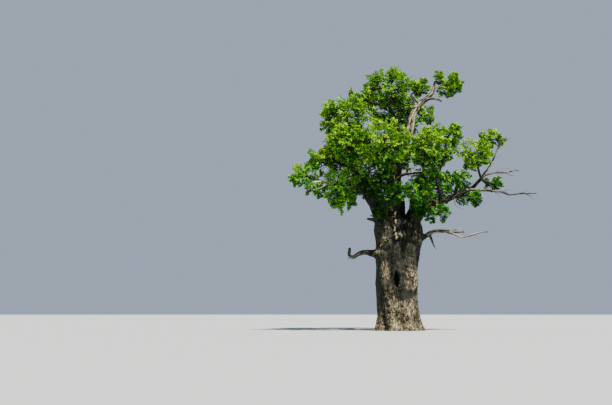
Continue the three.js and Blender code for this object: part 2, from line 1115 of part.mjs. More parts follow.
// Trunk and limbs, each limb cut to fit every earlier one that it meets
const ground = new THREE.Vector3(0, 0, 0);
const trunkBody = trunkSolid();
wood.add(meshOf("trunk", trunkBody, barkMaterial, ground));
const grown = new Map([["trunk", trunkSolid(seam)]]);
const obstacles = [{ owner: null, solid: trunkBody }];
for (const limb of limbs) {
  const solid = mainBody(cutBy(limbSolid(limb), [...grown.values()]));
  grown.set(limb.name, limbSolid(limb, seam));
  obstacles.push({ owner: null, solid });
  const material = limb.bare ? bareMaterial : barkMaterial;
  wood.add(meshOf(limb.name, solid, material, place(limb.line[0])));
}

// Each mass: stem, twigs and sprays in one body, cut clear of the limbs that it meets and of the
// stem of an earlier mass on the same tip
masses.forEach((mass, index) => obstacles.push({ owner: mass, solid: stems[index] }));
masses.forEach((mass, index) => {
  const leafy = growMass(mass, index, obstacles);
  const solid = mainBody(cutBy(leafy, [...grown.values(), ...grownStems.slice(0, index)]));
  const colour = leafColours[index % leafColours.length];
  const material = new THREE.MeshStandardMaterial({ color: colour, roughness: 0.8, metalness: 0 });
  crown.add(meshOf(mass.name, solid, material, spaces[index].middle));
});

export default tree;
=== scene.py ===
# An old field oak in summer leaf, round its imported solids: furrowed bark, dead limbs, twigs and leaves
import math

import bmesh
import bpy
import numpy as np
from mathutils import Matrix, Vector


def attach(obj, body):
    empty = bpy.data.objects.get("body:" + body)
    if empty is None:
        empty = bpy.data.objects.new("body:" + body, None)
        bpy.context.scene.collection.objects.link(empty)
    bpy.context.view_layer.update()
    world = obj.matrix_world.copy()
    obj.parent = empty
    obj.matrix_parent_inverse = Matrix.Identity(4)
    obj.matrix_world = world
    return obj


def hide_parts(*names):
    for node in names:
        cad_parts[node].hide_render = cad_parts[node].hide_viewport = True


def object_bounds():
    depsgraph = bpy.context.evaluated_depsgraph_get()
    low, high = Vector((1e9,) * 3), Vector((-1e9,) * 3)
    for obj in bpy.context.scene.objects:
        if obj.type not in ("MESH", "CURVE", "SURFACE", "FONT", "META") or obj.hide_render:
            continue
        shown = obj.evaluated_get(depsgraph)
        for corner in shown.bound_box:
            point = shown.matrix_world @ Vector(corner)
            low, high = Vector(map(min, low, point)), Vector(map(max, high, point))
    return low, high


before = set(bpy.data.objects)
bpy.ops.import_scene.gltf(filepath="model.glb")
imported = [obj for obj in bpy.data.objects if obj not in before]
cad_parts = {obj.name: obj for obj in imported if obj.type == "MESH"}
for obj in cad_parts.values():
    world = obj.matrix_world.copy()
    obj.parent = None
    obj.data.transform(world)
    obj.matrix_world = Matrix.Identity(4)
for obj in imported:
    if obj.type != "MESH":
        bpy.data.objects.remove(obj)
cadBox = [list(corner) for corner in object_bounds()]
print("frame loaded:", len(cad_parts), "nodes")

# Camera: stands low in the open and looks up a little
viewer = {
    "at": (-4.465, -41.6, 0.85),
    "tilt": math.radians(7.406),
    "lens": 50,
    "range": 42.5,  # along the line of sight to the upright plane in which places are written
    "middle": (-4.6, 6.375),  # of that plane, in the picture's centre
    "farthest": 2000,
}


def addObject(name, data):
    thing = bpy.data.objects.new(name, data)
    bpy.context.scene.collection.objects.link(thing)
    return thing


def makeCamera():
    lens = bpy.data.cameras.new("viewCamera")
    lens.lens = viewer["lens"]
    lens.clip_end = viewer["farthest"]
    camera = addObject("viewCamera", lens)
    camera.location = viewer["at"]
    camera.rotation_euler = (math.pi / 2 + viewer["tilt"], 0, 0)
    bpy.context.scene.camera = camera


makeCamera()


# A place in the outline (across, depth, up) is carried along its line of sight to its own depth
def place(points):
    points = np.atleast_2d(np.array(points, float))
    tilt = viewer["tilt"]
    across = (points[:, 0] - viewer["middle"][0]) / viewer["range"]
    up = (points[:, 2] - viewer["middle"][1]) / viewer["range"]
    reach = (points[:, 1] - viewer["at"][1]) / (math.cos(tilt) - up * math.sin(tilt))
    x = viewer["at"][0] + reach * across
    z = viewer["at"][2] + reach * (math.sin(tilt) + up * math.cos(tilt))
    return np.stack([x, points[:, 1], z], 1)


# The other way round: where a point is seen in the outline
def seenAt(points):
    tilt = viewer["tilt"]
    away = points - np.array(viewer["at"])
    depth = away[:, 1] * math.cos(tilt) + away[:, 2] * math.sin(tilt)
    rise = away[:, 2] * math.cos(tilt) - away[:, 1] * math.sin(tilt)
    scale = viewer["range"] / depth
    return away[:, 0] * scale + viewer["middle"][0], rise * scale + viewer["middle"][1]


# A living limb: what carries it, its first and last radius, its middle line, how pale its bark is, which is
# painted light and shade that darkens boughs in the crown's shade, and the heights between which it loses
# the bark
def bough(on, radii, line, pale=0.05, stripped=None):
    return {"on": on, "radii": radii, "line": line, "pale": pale, "stripped": stripped, "bare": False}


# A dead limb, also with its prongs' lines, its side twigs (radius at the foot, line) and how pale its wood is
def deadLimb(on, radii, line, prongs=(), twigs=(), pale=0):
    limb = {"on": on, "radii": radii, "line": line, "pale": pale, "bare": True}
    return {**limb, "prongs": prongs, "twigs": twigs}


# A mass of foliage: the limb it grows from, its middle and half sizes, tips that stand out of it, its stem's
# root if that isn't the limb's end, and its painted light: how much lighter it is than its height gives,
# below
# 0 painted shade
def clump(on, at, half, tips=(), root=None, paintedLight=0):
    return {"on": on, "at": at, "half": half, "tips": tips, "root": root, "paintedLight": paintedLight}


boughs = {
    "leader": bough("trunk", (0.47, 0.15), [(-0.1, 0, 5.1), (-0.15, 0.02, 6.3), (-0.2, 0.06, 7.3),
        (0, 0.06, 8.5), (0.4, 0.02, 9.5), (0.6, 0, 10.1), (0.72, 0, 10.7), (0.97, 0, 11.15)], pale=-0.1,
        stripped=(9.2, 9.9)),
    "bough_left": bough("trunk", (0.5, 0.15), [(-0.38, 0, 5), (-0.78, -0.04, 5.92), (-1.37, -0.06, 6.67),
        (-1.9, -0.04, 7.4), (-2.35, 0.02, 8.25)], pale=-0.7),
    "bough_right_inner": bough("trunk", (0.41, 0.08), [(0.62, 0, 4.8), (0.81, 0.02, 5.65), (0.9, 0.05, 6.35),
        (1.2, 0.08, 6.95), (1.7, 0.06, 7.45), (2.05, 0, 8.1), (2.3, 0, 8.85)], pale=-0.5),
    "bough_right": bough("bough_right_inner", (0.29, 0.13), [(0.85, -0.02, 5.55), (1.23, -0.04, 6.01),
        (1.65, -0.06, 6.23), (2.25, -0.06, 6.45), (2.9, -0.04, 6.72)], pale=-0.1),
    "bough_right_outer": bough("bough_right", (0.115, 0.075), [(2.75, -0.04, 6.66), (3.25, -0.02, 6.85),
        (3.7, 0, 7.1), (4.15, 0, 7.56)], pale=-0.1, stripped=(7.4, 7.9)),
    "bough_right_middle": bough("leader", (0.095, 0.06), [(-0.15, 0, 7.55), (0.3, -0.15, 7.78),
        (0.8, -0.33, 7.85), (1.25, -0.48, 7.87)], pale=0.6, stripped=(7, 7.4)),
    "bough_left_low": bough("bough_left", (0.12, 0.07), [(-1.65, -0.08, 7), (-2.3, -0.2, 7.04),
        (-2.85, -0.26, 7.1), (-3.4, -0.3, 7.27)]),
    "bough_left_front": bough("bough_left_low", (0.085, 0.06), [(-2.25, -0.2, 7.04), (-2.5, -0.48, 7.06),
        (-2.68, -0.7, 7.08)]),
    "bough_left_out": bough("bough_left", (0.12, 0.075), [(-2.18, 0, 7.9), (-2.65, 0.06, 8.18),
        (-3.15, 0.08, 8.42)]),
    "bough_left_top": bough("bough_left", (0.135, 0.085), [(-2.26, 0, 8), (-2.42, -0.06, 8.8),
        (-2.45, -0.2, 9.75)]),
    "bough_front_left": bough("bough_left", (0.15, 0.085), [(-1.15, -0.08, 6.3), (-1.25, -0.56, 6.75),
        (-1.4, -0.82, 7.25)]),
    "bough_front": bough("leader", (0.17, 0.095), [(-0.18, 0, 7.1), (-0.35, -0.6, 7.7),
        (-0.56, -1.15, 8.35)]),
    "bough_front_right": bough("bough_right", (0.12, 0.07), [(1.15, -0.06, 5.95), (1.28, -0.5, 6.13),
        (1.45, -0.8, 6.28)]),
    "bough_top": bough("leader", (0.15, 0.085), [(0.38, 0.02, 9.3), (0.1, 0.16, 10.05), (-0.25, 0.26, 10.7),
        (-0.45, 0.28, 11.25)], pale=-0.3),
    "bough_back": bough("leader", (0.21, 0.105), [(-0.19, 0.05, 6.9), (-0.1, 0.85, 7.7), (0, 1.7, 8.7),
        (0.06, 2.15, 9.3)]),
    "bough_back_left": bough("trunk", (0.36, 0.11), [(-0.35, 0.35, 4.9), (-0.65, 0.9, 6), (-1.15, 1.45, 7),
        (-1.7, 1.9, 7.9)]),
    "bough_back_right": bough("trunk", (0.35, 0.105), [(0.45, 0.4, 4.9), (0.85, 0.95, 6), (1.3, 1.5, 6.9),
        (1.8, 1.85, 7.7)]),
}
deadLimbs = {
    "fork_right": deadLimb("leader", (0.15, 0.062), [(0.93, 0, 11.08), (1.25, -0.01, 11.43), (1.6, 0, 11.72),
        (1.8, 0.01, 12.05), (1.85, 0.02, 12.42)],
        twigs=[(0.03, [(1.8, 0.01, 12), (1.98, -0.05, 12.2), (2.2, -0.08, 12.3)])]),
    "fork_left": deadLimb("leader", (0.098, 0.048), [(0.96, 0, 11.12), (0.8, 0, 11.48), (0.64, 0.01, 11.8)],
        pale=0.02),
    "dead_spur": deadLimb("fork_right", (0.084, 0.034), [(1.33, 0, 11.48), (1.65, -0.06, 11.56),
        (1.9, -0.09, 11.54), (2.17, -0.11, 11.43)],
        twigs=[(0.02, [(1.65, -0.06, 11.56), (1.85, -0.12, 11.68), (2.02, -0.16, 11.7)])], pale=-0.15),
    "dead_right_high": deadLimb("bough_right_outer", (0.062, 0.02), [(4.05, 0, 7.46), (4.45, -0.03, 7.78),
        (4.85, -0.05, 7.86), (5.4, -0.06, 7.88), (6.05, -0.06, 8)], twigs=[
            (0.026, [(4.85, -0.05, 7.86), (5.1, -0.1, 8.06), (5.42, -0.14, 8.12)]),
            (0.02, [(5.3, -0.06, 7.88), (5.6, -0.02, 7.74), (5.9, 0, 7.72)]),
            (0.014, [(5.5, -0.06, 7.9), (5.75, -0.1, 8.02), (5.95, -0.12, 8.2)]),
        ], pale=-0.16),
    "dead_right_riser": deadLimb("bough_right_outer", (0.052, 0.026), [(4.12, 0, 7.5), (4.52, 0.06, 8.15),
        (4.8, 0.09, 8.65), (5.01, 0.1, 9.18)], twigs=[
            (0.034, [(5.01, 0.1, 9.1), (5.05, 0.1, 9.42), (5.07, 0.08, 9.8)]),
            (0.03, [(5, 0.1, 9.05), (5.25, 0.06, 9.32), (5.64, 0.04, 9.62)]),
            (0.018, [(4.72, 0.08, 8.5), (4.9, 0.02, 8.62), (5.14, 0, 8.66)]),
        ], pale=-0.28),
    "dead_right_long": deadLimb("bough_right", (0.088, 0.022), [(2.65, -0.06, 6.61), (3.1, -0.33, 6.86),
        (3.6, -0.4, 7), (4.15, -0.4, 7.01), (5, -0.4, 6.93), (5.55, -0.4, 6.79), (6.25, -0.4, 6.83),
        (6.9, -0.4, 6.83)], prongs=[
            [(6.25, -0.4, 6.83), (6.52, -0.41, 6.76), (6.76, -0.42, 6.59)],
            [(6.15, -0.4, 6.83), (6.28, -0.38, 6.88), (6.43, -0.37, 7.01)],
        ], twigs=[
            (0.024, [(3.1, -0.33, 6.86), (3.35, -0.5, 6.7), (3.7, -0.58, 6.62)]),
            (0.022, [(4.15, -0.4, 7.01), (4.5, -0.5, 7.16), (4.8, -0.55, 7.14)]),
            (0.016, [(5.2, -0.4, 6.88), (5.5, -0.45, 7.02), (5.78, -0.48, 7.03)]),
            (0.014, [(4.7, -0.4, 6.97), (4.95, -0.35, 6.8), (5.1, -0.32, 6.6)]),
            (0.028, [(2.82, -0.14, 6.68), (3.02, -0.34, 6.48), (3.48, -0.42, 6.42)]),
            (0.018, [(2.76, -0.1, 6.62), (2.9, -0.3, 6.2), (3.34, -0.36, 6.04)]),
        ], pale=-0.26),
    "dead_low_right": deadLimb("trunk", (0.136, 0.034), [(0.95, -0.08, 4.56), (1.35, -0.09, 4.7),
        (1.68, -0.1, 4.88), (2.3, -0.11, 4.93), (2.8, -0.12, 4.91), (3.3, -0.13, 4.87)], prongs=[
            [(2.25, -0.11, 4.93), (2.75, -0.16, 4.83), (3.23, -0.19, 4.67), (3.7, -0.21, 4.78),
            (4.1, -0.22, 4.9), (4.48, -0.23, 4.93)],
            [(1.55, -0.1, 4.8), (1.7, -0.13, 4.48), (1.84, -0.15, 4.12)],
        ], twigs=[
            (0.022, [(2.7, -0.12, 4.92), (2.95, -0.2, 5.05), (3.2, -0.24, 5.08)]),
            (0.014, [(3.7, -0.21, 4.78), (3.95, -0.26, 4.66), (4.15, -0.28, 4.64)]),
            (0.03, [(1.79, -0.14, 4.26), (1.86, -0.16, 4.08), (1.95, -0.17, 3.98)]),
        ], pale=-0.03),
    "dead_low_left": deadLimb("trunk", (0.15, 0.062), [(-0.9, -0.06, 3.8), (-1.3, -0.08, 3.85),
        (-1.72, -0.09, 3.87), (-2.02, -0.1, 3.76), (-2.23, -0.11, 3.64), (-2.42, -0.11, 3.74),
        (-2.43, -0.11, 4.08)],
        twigs=[(0.03, [(-2.23, -0.11, 3.66), (-2.45, -0.13, 3.6), (-2.56, -0.14, 3.62)])], pale=-0.24),
    "dead_stub_left": deadLimb("trunk", (0.12, 0.048), [(-0.9, -0.04, 5.42), (-1.25, -0.06, 5.5),
        (-1.53, -0.08, 5.54)], pale=-0.34),
    "dead_left_fork": deadLimb("bough_left_low", (0.072, 0.03), [(-2.95, -0.29, 7.13), (-3.3, -0.76, 7.22),
        (-3.56, -0.9, 7.37), (-3.88, -0.93, 7.41), (-4.23, -0.93, 7.39)],
        prongs=[[(-3.3, -0.76, 7.22), (-3.56, -0.96, 7.25), (-3.88, -1, 7.12), (-4.23, -1.01, 7.03)]],
        pale=0.36),
}
limbs = {**boughs, **deadLimbs}

masses = {  # the nodes' names without their foliage_
    "top": clump("bough_top", (-0.5, 0.2, 12), (1.25, 1.3, 1.08), tips=[(0.04, 0.3, 13.23),
        (-1.65, 0.2, 12.6)], paintedLight=-0.4),
    "top_left": clump("bough_top", (-1.9, 0.1, 11.48), (0.85, 0.85, 0.62)),
    "fork": clump("fork_left", (1.12, 0.06, 12.15), (0.48, 0.46, 0.42), tips=[(0.95, -0.1, 11.72),
        (0.76, 0, 12.2)]),
    "top_right": clump("fork_right", (2.52, -0.06, 12.15), (0.72, 0.62, 0.53), tips=[(1.85, 0, 12.92),
        (2.92, -0.1, 12.88), (3.3, -0.05, 12.3), (2.75, -0.5, 12.1)], paintedLight=0.1),
    "leader_side": clump("leader", (1.42, 0.15, 10.7), (0.4, 0.44, 0.48)),
    "upper_left": clump("bough_left_top", (-2.58, -0.45, 10.7), (1.33, 1.2, 0.98), tips=[(-3.92, -0.4, 11.18),
        (-3.93, -0.3, 9.85), (-3.05, -0.4, 11.4)], paintedLight=0.4),
    "mid_left": clump("bough_left_out", (-2.68, 0.2, 9.15), (1.08, 1.35, 0.98)),
    "front": clump("bough_front", (-0.75, -1.95, 9.43), (1.48, 1.25, 1.13), paintedLight=0.8),
    "front_left": clump("bough_left_top", (-2.45, -2, 9.35), (1.05, 0.95, 0.95), paintedLight=0.6),
    "back_far_left": clump("bough_left_out", (-3.48, 1.65, 8.35), (0.88, 0.95, 0.78)),
    "far_left_upper": clump("bough_left_out", (-4, -0.05, 8.58), (0.65, 0.65, 0.53), paintedLight=0.8),
    "far_left": clump("bough_left_low", (-4.7, -0.3, 7.72), (0.7, 0.7, 0.64), tips=[(-5.43, -0.35, 7.35)],
        paintedLight=1.5),
    "low_left_outer": clump("bough_left_low", (-4.15, -0.33, 6.97), (0.54, 0.54, 0.42), paintedLight=2.4),
    "low_left": clump("bough_left_front", (-2.92, -0.95, 7.08), (0.87, 0.88, 1.04),
        tips=[(-2.92, -0.85, 5.76), (-2.08, -0.8, 6.08)], paintedLight=3),
    "inner_left": clump("bough_front_left", (-1.48, -1.15, 7.88), (1.18, 1.15, 0.85), paintedLight=0.7),
    "trunk_tuft": clump("trunk", (-0.52, -1.3, 6.62), (0.64, 0.47, 0.76), root=(-0.6, -0.7, 5.4), paintedLight=-0.9),
    "right_centre": clump("bough_right_middle", (1.45, -0.95, 9.05), (1.15, 1.2, 1),
        tips=[(1.48, -0.5, 10.2)], paintedLight=0.7),
    "right_inner": clump("bough_right_middle", (1.45, -0.95, 7.53), (0.82, 0.78, 0.64), paintedLight=-0.3),
    "right_upper": clump("bough_right_inner", (2.48, -0.05, 9.68), (0.74, 0.72, 0.56),
        tips=[(3.05, -0.05, 10.28)], paintedLight=-0.5),
    "right_outer": clump("bough_right_outer", (3.82, 0.1, 8.78), (0.87, 1.05, 0.83), tips=[(3.3, 0, 8.02),
        (4.78, 0, 8.62)], paintedLight=1.6),
    "right_tip": clump("bough_right_outer", (4.72, -0.08, 7.3), (0.5, 0.43, 0.29)),
    "right_top": clump("dead_right_riser", (4.56, 0.3, 9.54), (0.68, 0.56, 0.43), tips=[(5.4, 0.2, 9.4)],
        paintedLight=0.6),
    "right_lower": clump("bough_right", (2.93, -0.55, 7.42), (0.8, 0.82, 0.58), paintedLight=0.1),
    "right_under": clump("bough_right", (3.75, -0.5, 6.56), (0.47, 0.43, 0.33), paintedLight=1),
    "low_right_front": clump("bough_front_right", (0.96, -1.27, 6.78), (0.86, 0.7, 0.72), paintedLight=0.4),
    "low_right": clump("bough_front_right", (1.95, -0.85, 5.8), (0.7, 0.6, 0.46), paintedLight=0.9),
    "back_top": clump("bough_back", (-0.05, 2.05, 10.7), (1.65, 1.4, 1.15)),
    "back": clump("bough_back", (-0.05, 3.5, 8.85), (1.6, 1.35, 1.25)),
    "back_left": clump("bough_back_left", (-2.35, 2.8, 9.2), (1.45, 1.45, 1.3)),
    "back_left_low": clump("bough_back_left", (-2.25, 2.35, 7.15), (1.2, 1.25, 0.95)),
    "back_right": clump("bough_back_right", (1.95, 2.65, 9.2), (1.25, 1.45, 1.15)),
    "back_right_low": clump("bough_back_right", (1.75, 2.8, 7.1), (1.2, 1.25, 0.95)),
}

trunk = {  # sizes in the outline, in metres
    "outline": [  # height, middle, half width
        (-0.3, 0.02, 1.24), (0, 0.02, 1.22), (0.25, 0.02, 1.09), (0.7, 0.012, 1.01), (1.525, -0.06, 0.995),
        (2.35, -0.05, 1.025), (3.2, -0.07, 1.045), (4, -0.01, 1.068), (4.425, 0.02, 1.12),
        (4.85, 0.065, 1.18), (5.2, 0.06, 1.18), (5.47, 0.04, 1.06), (5.68, 0.04, 0.8), (5.8, 0.06, 0.43),
    ],
    "depthShare": 0.95, "forkDepthShare": 0.76, "forkFrom": 3.9, "forkTo": 5.3,
    "ribs": 7, "ribDepth": 0.035, "ribTwist": 0.22, "rootDepth": 0.12, "rootHeight": 0.48,
    "flutes": [  # how many round the trunk, depth, turn, twist to the metre
        (3, 0.022, 0.9, 0.35), (5, 0.016, 2.1, -0.5), (11, 0.012, 0.4, 0.3), (17, 0.008, 1.7, -0.2),
    ],
    "sides": 120, "rings": 90,
    "rounded": 0.12,  # height over which the outline's corners are evened out
    "tips": (0.01, 0.06),  # reach of the skin's ends past its first and last ring
    # the hollow's inside is painted near black between the depths under dark, as painted shade
    "hollow": {"at": (-0.055, -0.96, 2.54), "half": (0.14, 0.4, 0.4), "dark": (-0.96, -0.9)},
}


limbShape = {
    "spacing": 0.05, "curveSteps": 24,
    "taper": 1.15, "bareTaper": 0.75,
    "collarSwell": 0.22, "collarReach": 1.6,
    "sides": 20, "thickSides": 28, "thick": 0.2,  # more sides past this radius
    "footReach": 0.02,
}


# Points of a line at given marks, where its own points have their marks too
def alongLine(line, marks, at):
    return np.stack([np.interp(at, marks, line[:, axis]) for axis in range(3)], -1)


def fullTurn(count):
    return np.linspace(0, 2 * math.pi, count, endpoint=False)


# Even points along a smooth line through the given ones, with the distance to each
def smoothLine(points, spacing):
    padded = np.vstack([2 * points[0] - points[1], points, 2 * points[-1] - points[-2]])
    dense = []
    for a, b, c, d in zip(padded, padded[1:], padded[2:], padded[3:]):
        first, middle, last = (max(np.linalg.norm(q - p), 1e-6) ** 0.5 for p, q in ((a, b), (b, c), (c, d)))
        leave = ((b - a) / first - (c - a) / (first + middle) + (c - b) / middle) * middle
        arrive = ((c - b) / middle - (d - b) / (middle + last) + (d - c) / last) * middle
        t = np.linspace(0, 1, limbShape["curveSteps"], endpoint=False)[:, None]
        dense.append(b * (2 * t**3 - 3 * t**2 + 1) + leave * (t**3 - 2 * t**2 + t)
                     + c * (3 * t**2 - 2 * t**3) + arrive * (t**3 - t**2))
    dense = np.vstack(dense + [points[-1:]])
    along = np.concatenate([[0], np.cumsum(np.linalg.norm(np.diff(dense, axis=0), axis=1))])
    places = np.linspace(0, along[-1], max(3, round(along[-1] / spacing)) + 1)
    return alongLine(dense, along, places), places


# Directions along a line and two across it that turn with it as little as they can
def framesAlong(line):
    ahead = np.gradient(line, axis=0)
    ahead /= np.linalg.norm(ahead, axis=1)[:, None]
    side = np.cross(ahead[0], (0.3, -0.2, 0.1))
    sides = []
    for direction in ahead:
        side = side - direction * side.dot(direction)
        side = side / np.linalg.norm(side)
        sides.append(side)
    sides = np.array(sides)
    return ahead, sides, np.cross(ahead, sides)


# Smooth random values from -1 to 1 on points, the same on every run
def softNoise(points, seed):
    cell = np.floor(points).astype(np.int64)
    part = points - cell
    fade = part * part * part * (part * (part * 6 - 15) + 10)
    total = np.zeros(len(points))
    for corner in range(8):
        step = np.array([corner & 1, (corner >> 1) & 1, (corner >> 2) & 1])
        key = (cell + step) @ np.array([73856093, 19349663, 83492791]) + seed * 2654435761
        key = (key ^ (key >> 13)) * 1274126177 & 0xFFFFFFFF
        key = (key ^ (key >> 15)) * 2246822519 & 0xFFFFFFFF
        share = np.where(step == 1, fade, 1 - fade).prod(axis=1)
        total += share * ((key ^ (key >> 16)) & 0xFFFF) / 32767.5
    return total - 1


# From 0 at low to 1 at high, without corners
def steps(value, low, high):
    t = np.clip((value - low) / (high - low), 0, 1)
    return t * t * (3 - 2 * t)


# A limb gets thinner along its length, and its foot swells into what carries it
def limbRadii(limb, along):
    first, last = limb["radii"]
    share = along / along[-1]
    taper = limbShape["bareTaper" if limb["bare"] else "taper"]
    collar = 1 + limbShape["collarSwell"] * np.exp(-along / (limbShape["collarReach"] * first))
    return (last + (first - last) * (1 - share) ** taper) * collar


# Rings of points joined into one closed skin, each end drawn to a tip
def skin(rings, firstTip, lastTip):
    count, sides = rings.shape[:2]
    points = np.vstack([rings.reshape(-1, 3), firstTip, lastTip])
    low = np.arange((count - 1) * sides).reshape(count - 1, sides)
    right = np.roll(low, -1, 1)
    faces = np.stack([low, right, right + sides, low + sides], 2).reshape(-1, 4).tolist()
    last = (count - 1) * sides
    faces += [(count * sides, (j + 1) % sides, j) for j in range(sides)]
    faces += [(count * sides + 1, last + j, last + (j + 1) % sides) for j in range(sides)]
    return points, faces


def tube(line, radii, sides, firstReach, lastReach):
    ahead, side, up = framesAlong(line)
    turn = fullTurn(sides)[None, :, None]
    rings = line[:, None] + radii[:, None, None] * (np.cos(turn) * side[:, None] + np.sin(turn) * up[:, None])
    return skin(rings, line[0] - ahead[0] * firstReach, line[-1] + ahead[-1] * lastReach)


def meshObject(name, points, faces, edges=()):
    mesh = bpy.data.meshes.new(name)
    mesh.from_pydata(points.tolist(), edges, faces)
    mesh.update()
    return addObject(name, mesh)


# Several closed skins as one mesh
def joinShells(name, shells):
    points, faces = [], []
    for shellPoints, shellFaces in shells:
        first = len(points)
        points.extend(shellPoints.tolist())
        faces.extend(tuple(corner + first for corner in face) for face in shellFaces)
    return meshObject(name, np.array(points), faces)


# A piece's modifiers are worked out and taken off, which leaves a plain mesh
def settle(thing):
    bpy.context.view_layer.update()
    graph = bpy.context.evaluated_depsgraph_get()
    mesh = bpy.data.meshes.new_from_object(thing.evaluated_get(graph))
    thing.modifiers.clear()
    thing.data = mesh
    return thing


def pointsOf(mesh):
    flat = np.zeros(len(mesh.vertices) * 3)
    mesh.vertices.foreach_get("co", flat)
    return flat.reshape(-1, 3)


def normalsOf(mesh):
    flat = np.zeros(len(mesh.vertices) * 3, np.float32)
    mesh.vertex_normals.foreach_get("vector", flat)
    return flat.reshape(-1, 3).astype(float)


def movePoints(mesh, points):
    mesh.vertices.foreach_set("co", points.ravel())
    mesh.update()


# Values kept on a mesh's points, one number or a vector each
def writeValues(mesh, name, values):
    kind, key = ("FLOAT_VECTOR", "vector") if values.ndim > 1 else ("FLOAT", "value")
    layer = mesh.attributes.new(name, kind, "POINT")
    layer.data.foreach_set(key, values.astype(np.float32).ravel())


# A piece of the tree: it rides on the one body, has its finish, and stands for nodes of the frame
def finishPiece(thing, material, nodes):
    if material:
        thing.data.materials.clear()
        thing.data.materials.append(material)
    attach(thing, "root")
    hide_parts(*nodes)
    print("piece", thing.name, len(thing.data.polygons), "faces")


# Bark: the trunk and every bough as one skin, with furrows that run along each of them
bark = {
    "voxel": 0.022,
    "near": 0.4,  # how far from a limb its furrows still count
    "blend": 0.045,  # over which one limb's furrows pass into the next one's
    "shift": 3.7,  # moves the pattern on from limb to limb
    "farOff": 9.0,  # stands for any distance that doesn't count
    "batch": 20000,  # points worked out at once
    "trunkMarks": 60,
    "rounding": 30,  # rounds of smoothing where two limbs meet
    "roundingReach": 0.13,
    "lumps": [(1.5, 0.05, 1), (3.7, 0.02, 2)],  # bumps to the metre, height at a radius of a metre, seed
    "furrowDepth": 0.03,  # at a radius of a metre and more
    "furrowWidth": 0.34,
    "sunk": 0.012,  # how far the skin is drawn in before the ridges rise
    "cuts": (2.05, 5.35, 6.95),  # heights where it is parted into pieces
    "boughsAbove": 3,  # pieces that start higher than this stand for the boughs too
    "hollowExtra": 0.035,  # cut wider by what the ridges close again
    # painted sunlight: the trunk's foot is paler, fading out higher up where the crown shades it
    "sunlitByHeight": [(0, 0.66), (1.2, 0.56), (2.2, 0.16), (3.2, 0.03), (6, 0)],
    "front": (0.15, 0.5), "frontTop": 7.4,  # how far forward the front's marks set in, and how high they go
    "wobble": 0.18,  # of their rims
    "worn": (-0.93, 1.35, 0.2, 1.15),  # a smoother field on the front, as the fields below
    "rim": 0.02, "lip": 0.015,  # rise of the wood round a wound and round the hollow
    "scarSmooth": 0.85, "wornSmooth": 0.7,  # share of the relief that they lose
}

# Old wounds of the trunk's front, in the outline: across, up, half width, half height, depth
scars = [
    (-0.58, 4.46, 0.2, 0.12, 0.03), (-0.63, 3.2, 0.08, 0.22, 0.02), (0.2, 4.8, 0.15, 0.12, 0.03),
    (-0.25, 6.74, 0.08, 0.1, 0.01), (-0.52, 2.65, 0.05, 0.09, 0.01),
]
# Pale and dark fields of the trunk's front: pale wood of old wounds and knots, painted sunlight where the sun
# reaches the lower trunk and painted shade under the crown; in the outline: across, up, half width, half
# height, paler by
paleWoodSunAndShade = [
    (0.66, 2.55, 0.3, 0.66, 0.85), (0.25, 0.78, 0.74, 0.72, 0.3), (-0.25, 1.75, 0.18, 0.5, 0.25),
    (-0.6, 4.42, 0.34, 0.3, 0.8), (-1, 3.95, 0.18, 0.2, 0.6), (-0.62, 3.12, 0.2, 0.46, 0.6),
    (-0.5, 2.6, 0.12, 0.18, 0.5), (0.2, 4.84, 0.2, 0.18, 1.5), (0.12, 1.78, 0.42, 0.28, -1.1),
    (-0.92, 1.4, 0.2, 1.1, -0.3), (-0.05, 3.9, 0.5, 0.9, -0.6), (0.72, 4.3, 0.1, 0.6, 0.1),
    (0.99, 1.2, 0.1, 1.2, -0.5), (-0.55, 0.6, 0.2, 0.9, -0.35), (0.3, 5.5, 0.5, 0.7, -0.4),
    (0.05, 5.7, 1.3, 0.9, -0.35), (-0.2, 4.3, 0.9, 0.9, -0.2), (0.1, 5.5, 0.26, 0.6, -1),
    (-0.3, 2.1, 0.22, 0.4, -0.1), (0.2, 2.6, 0.2, 0.6, -0.35), (0.5, 1.8, 0.4, 0.16, -1.1),
]
# Pale broken ridges on the front: points in the outline, then half width, rise and how pale
streaks = [
    ([(-0.44, 6.3), (-0.32, 6.02), (-0.16, 5.85), (-0.12, 5.4), (-0.18, 5), (-0.1, 4.6)], 0.058, 0.04, 3.4),
    ([(0.84, 5.8), (0.74, 5.5), (0.66, 5.2)], 0.045, 0.03, 2.4),
    ([(-0.66, 5.45), (-0.63, 5.12), (-0.36, 5.05)], 0.04, 0.02, 1),
    ([(-1.14, 3.72), (-0.95, 4.05), (-0.78, 4.3), (-0.5, 4.5)], 0.055, 0.04, 1),
    ([(-0.75, 3.58), (-0.5, 3.5)], 0.035, 0.02, 1),
    ([(-0.12, 8.2), (-0.14, 7.7), (-0.1, 7.25)], 0.08, 0.015, 1.5),
]
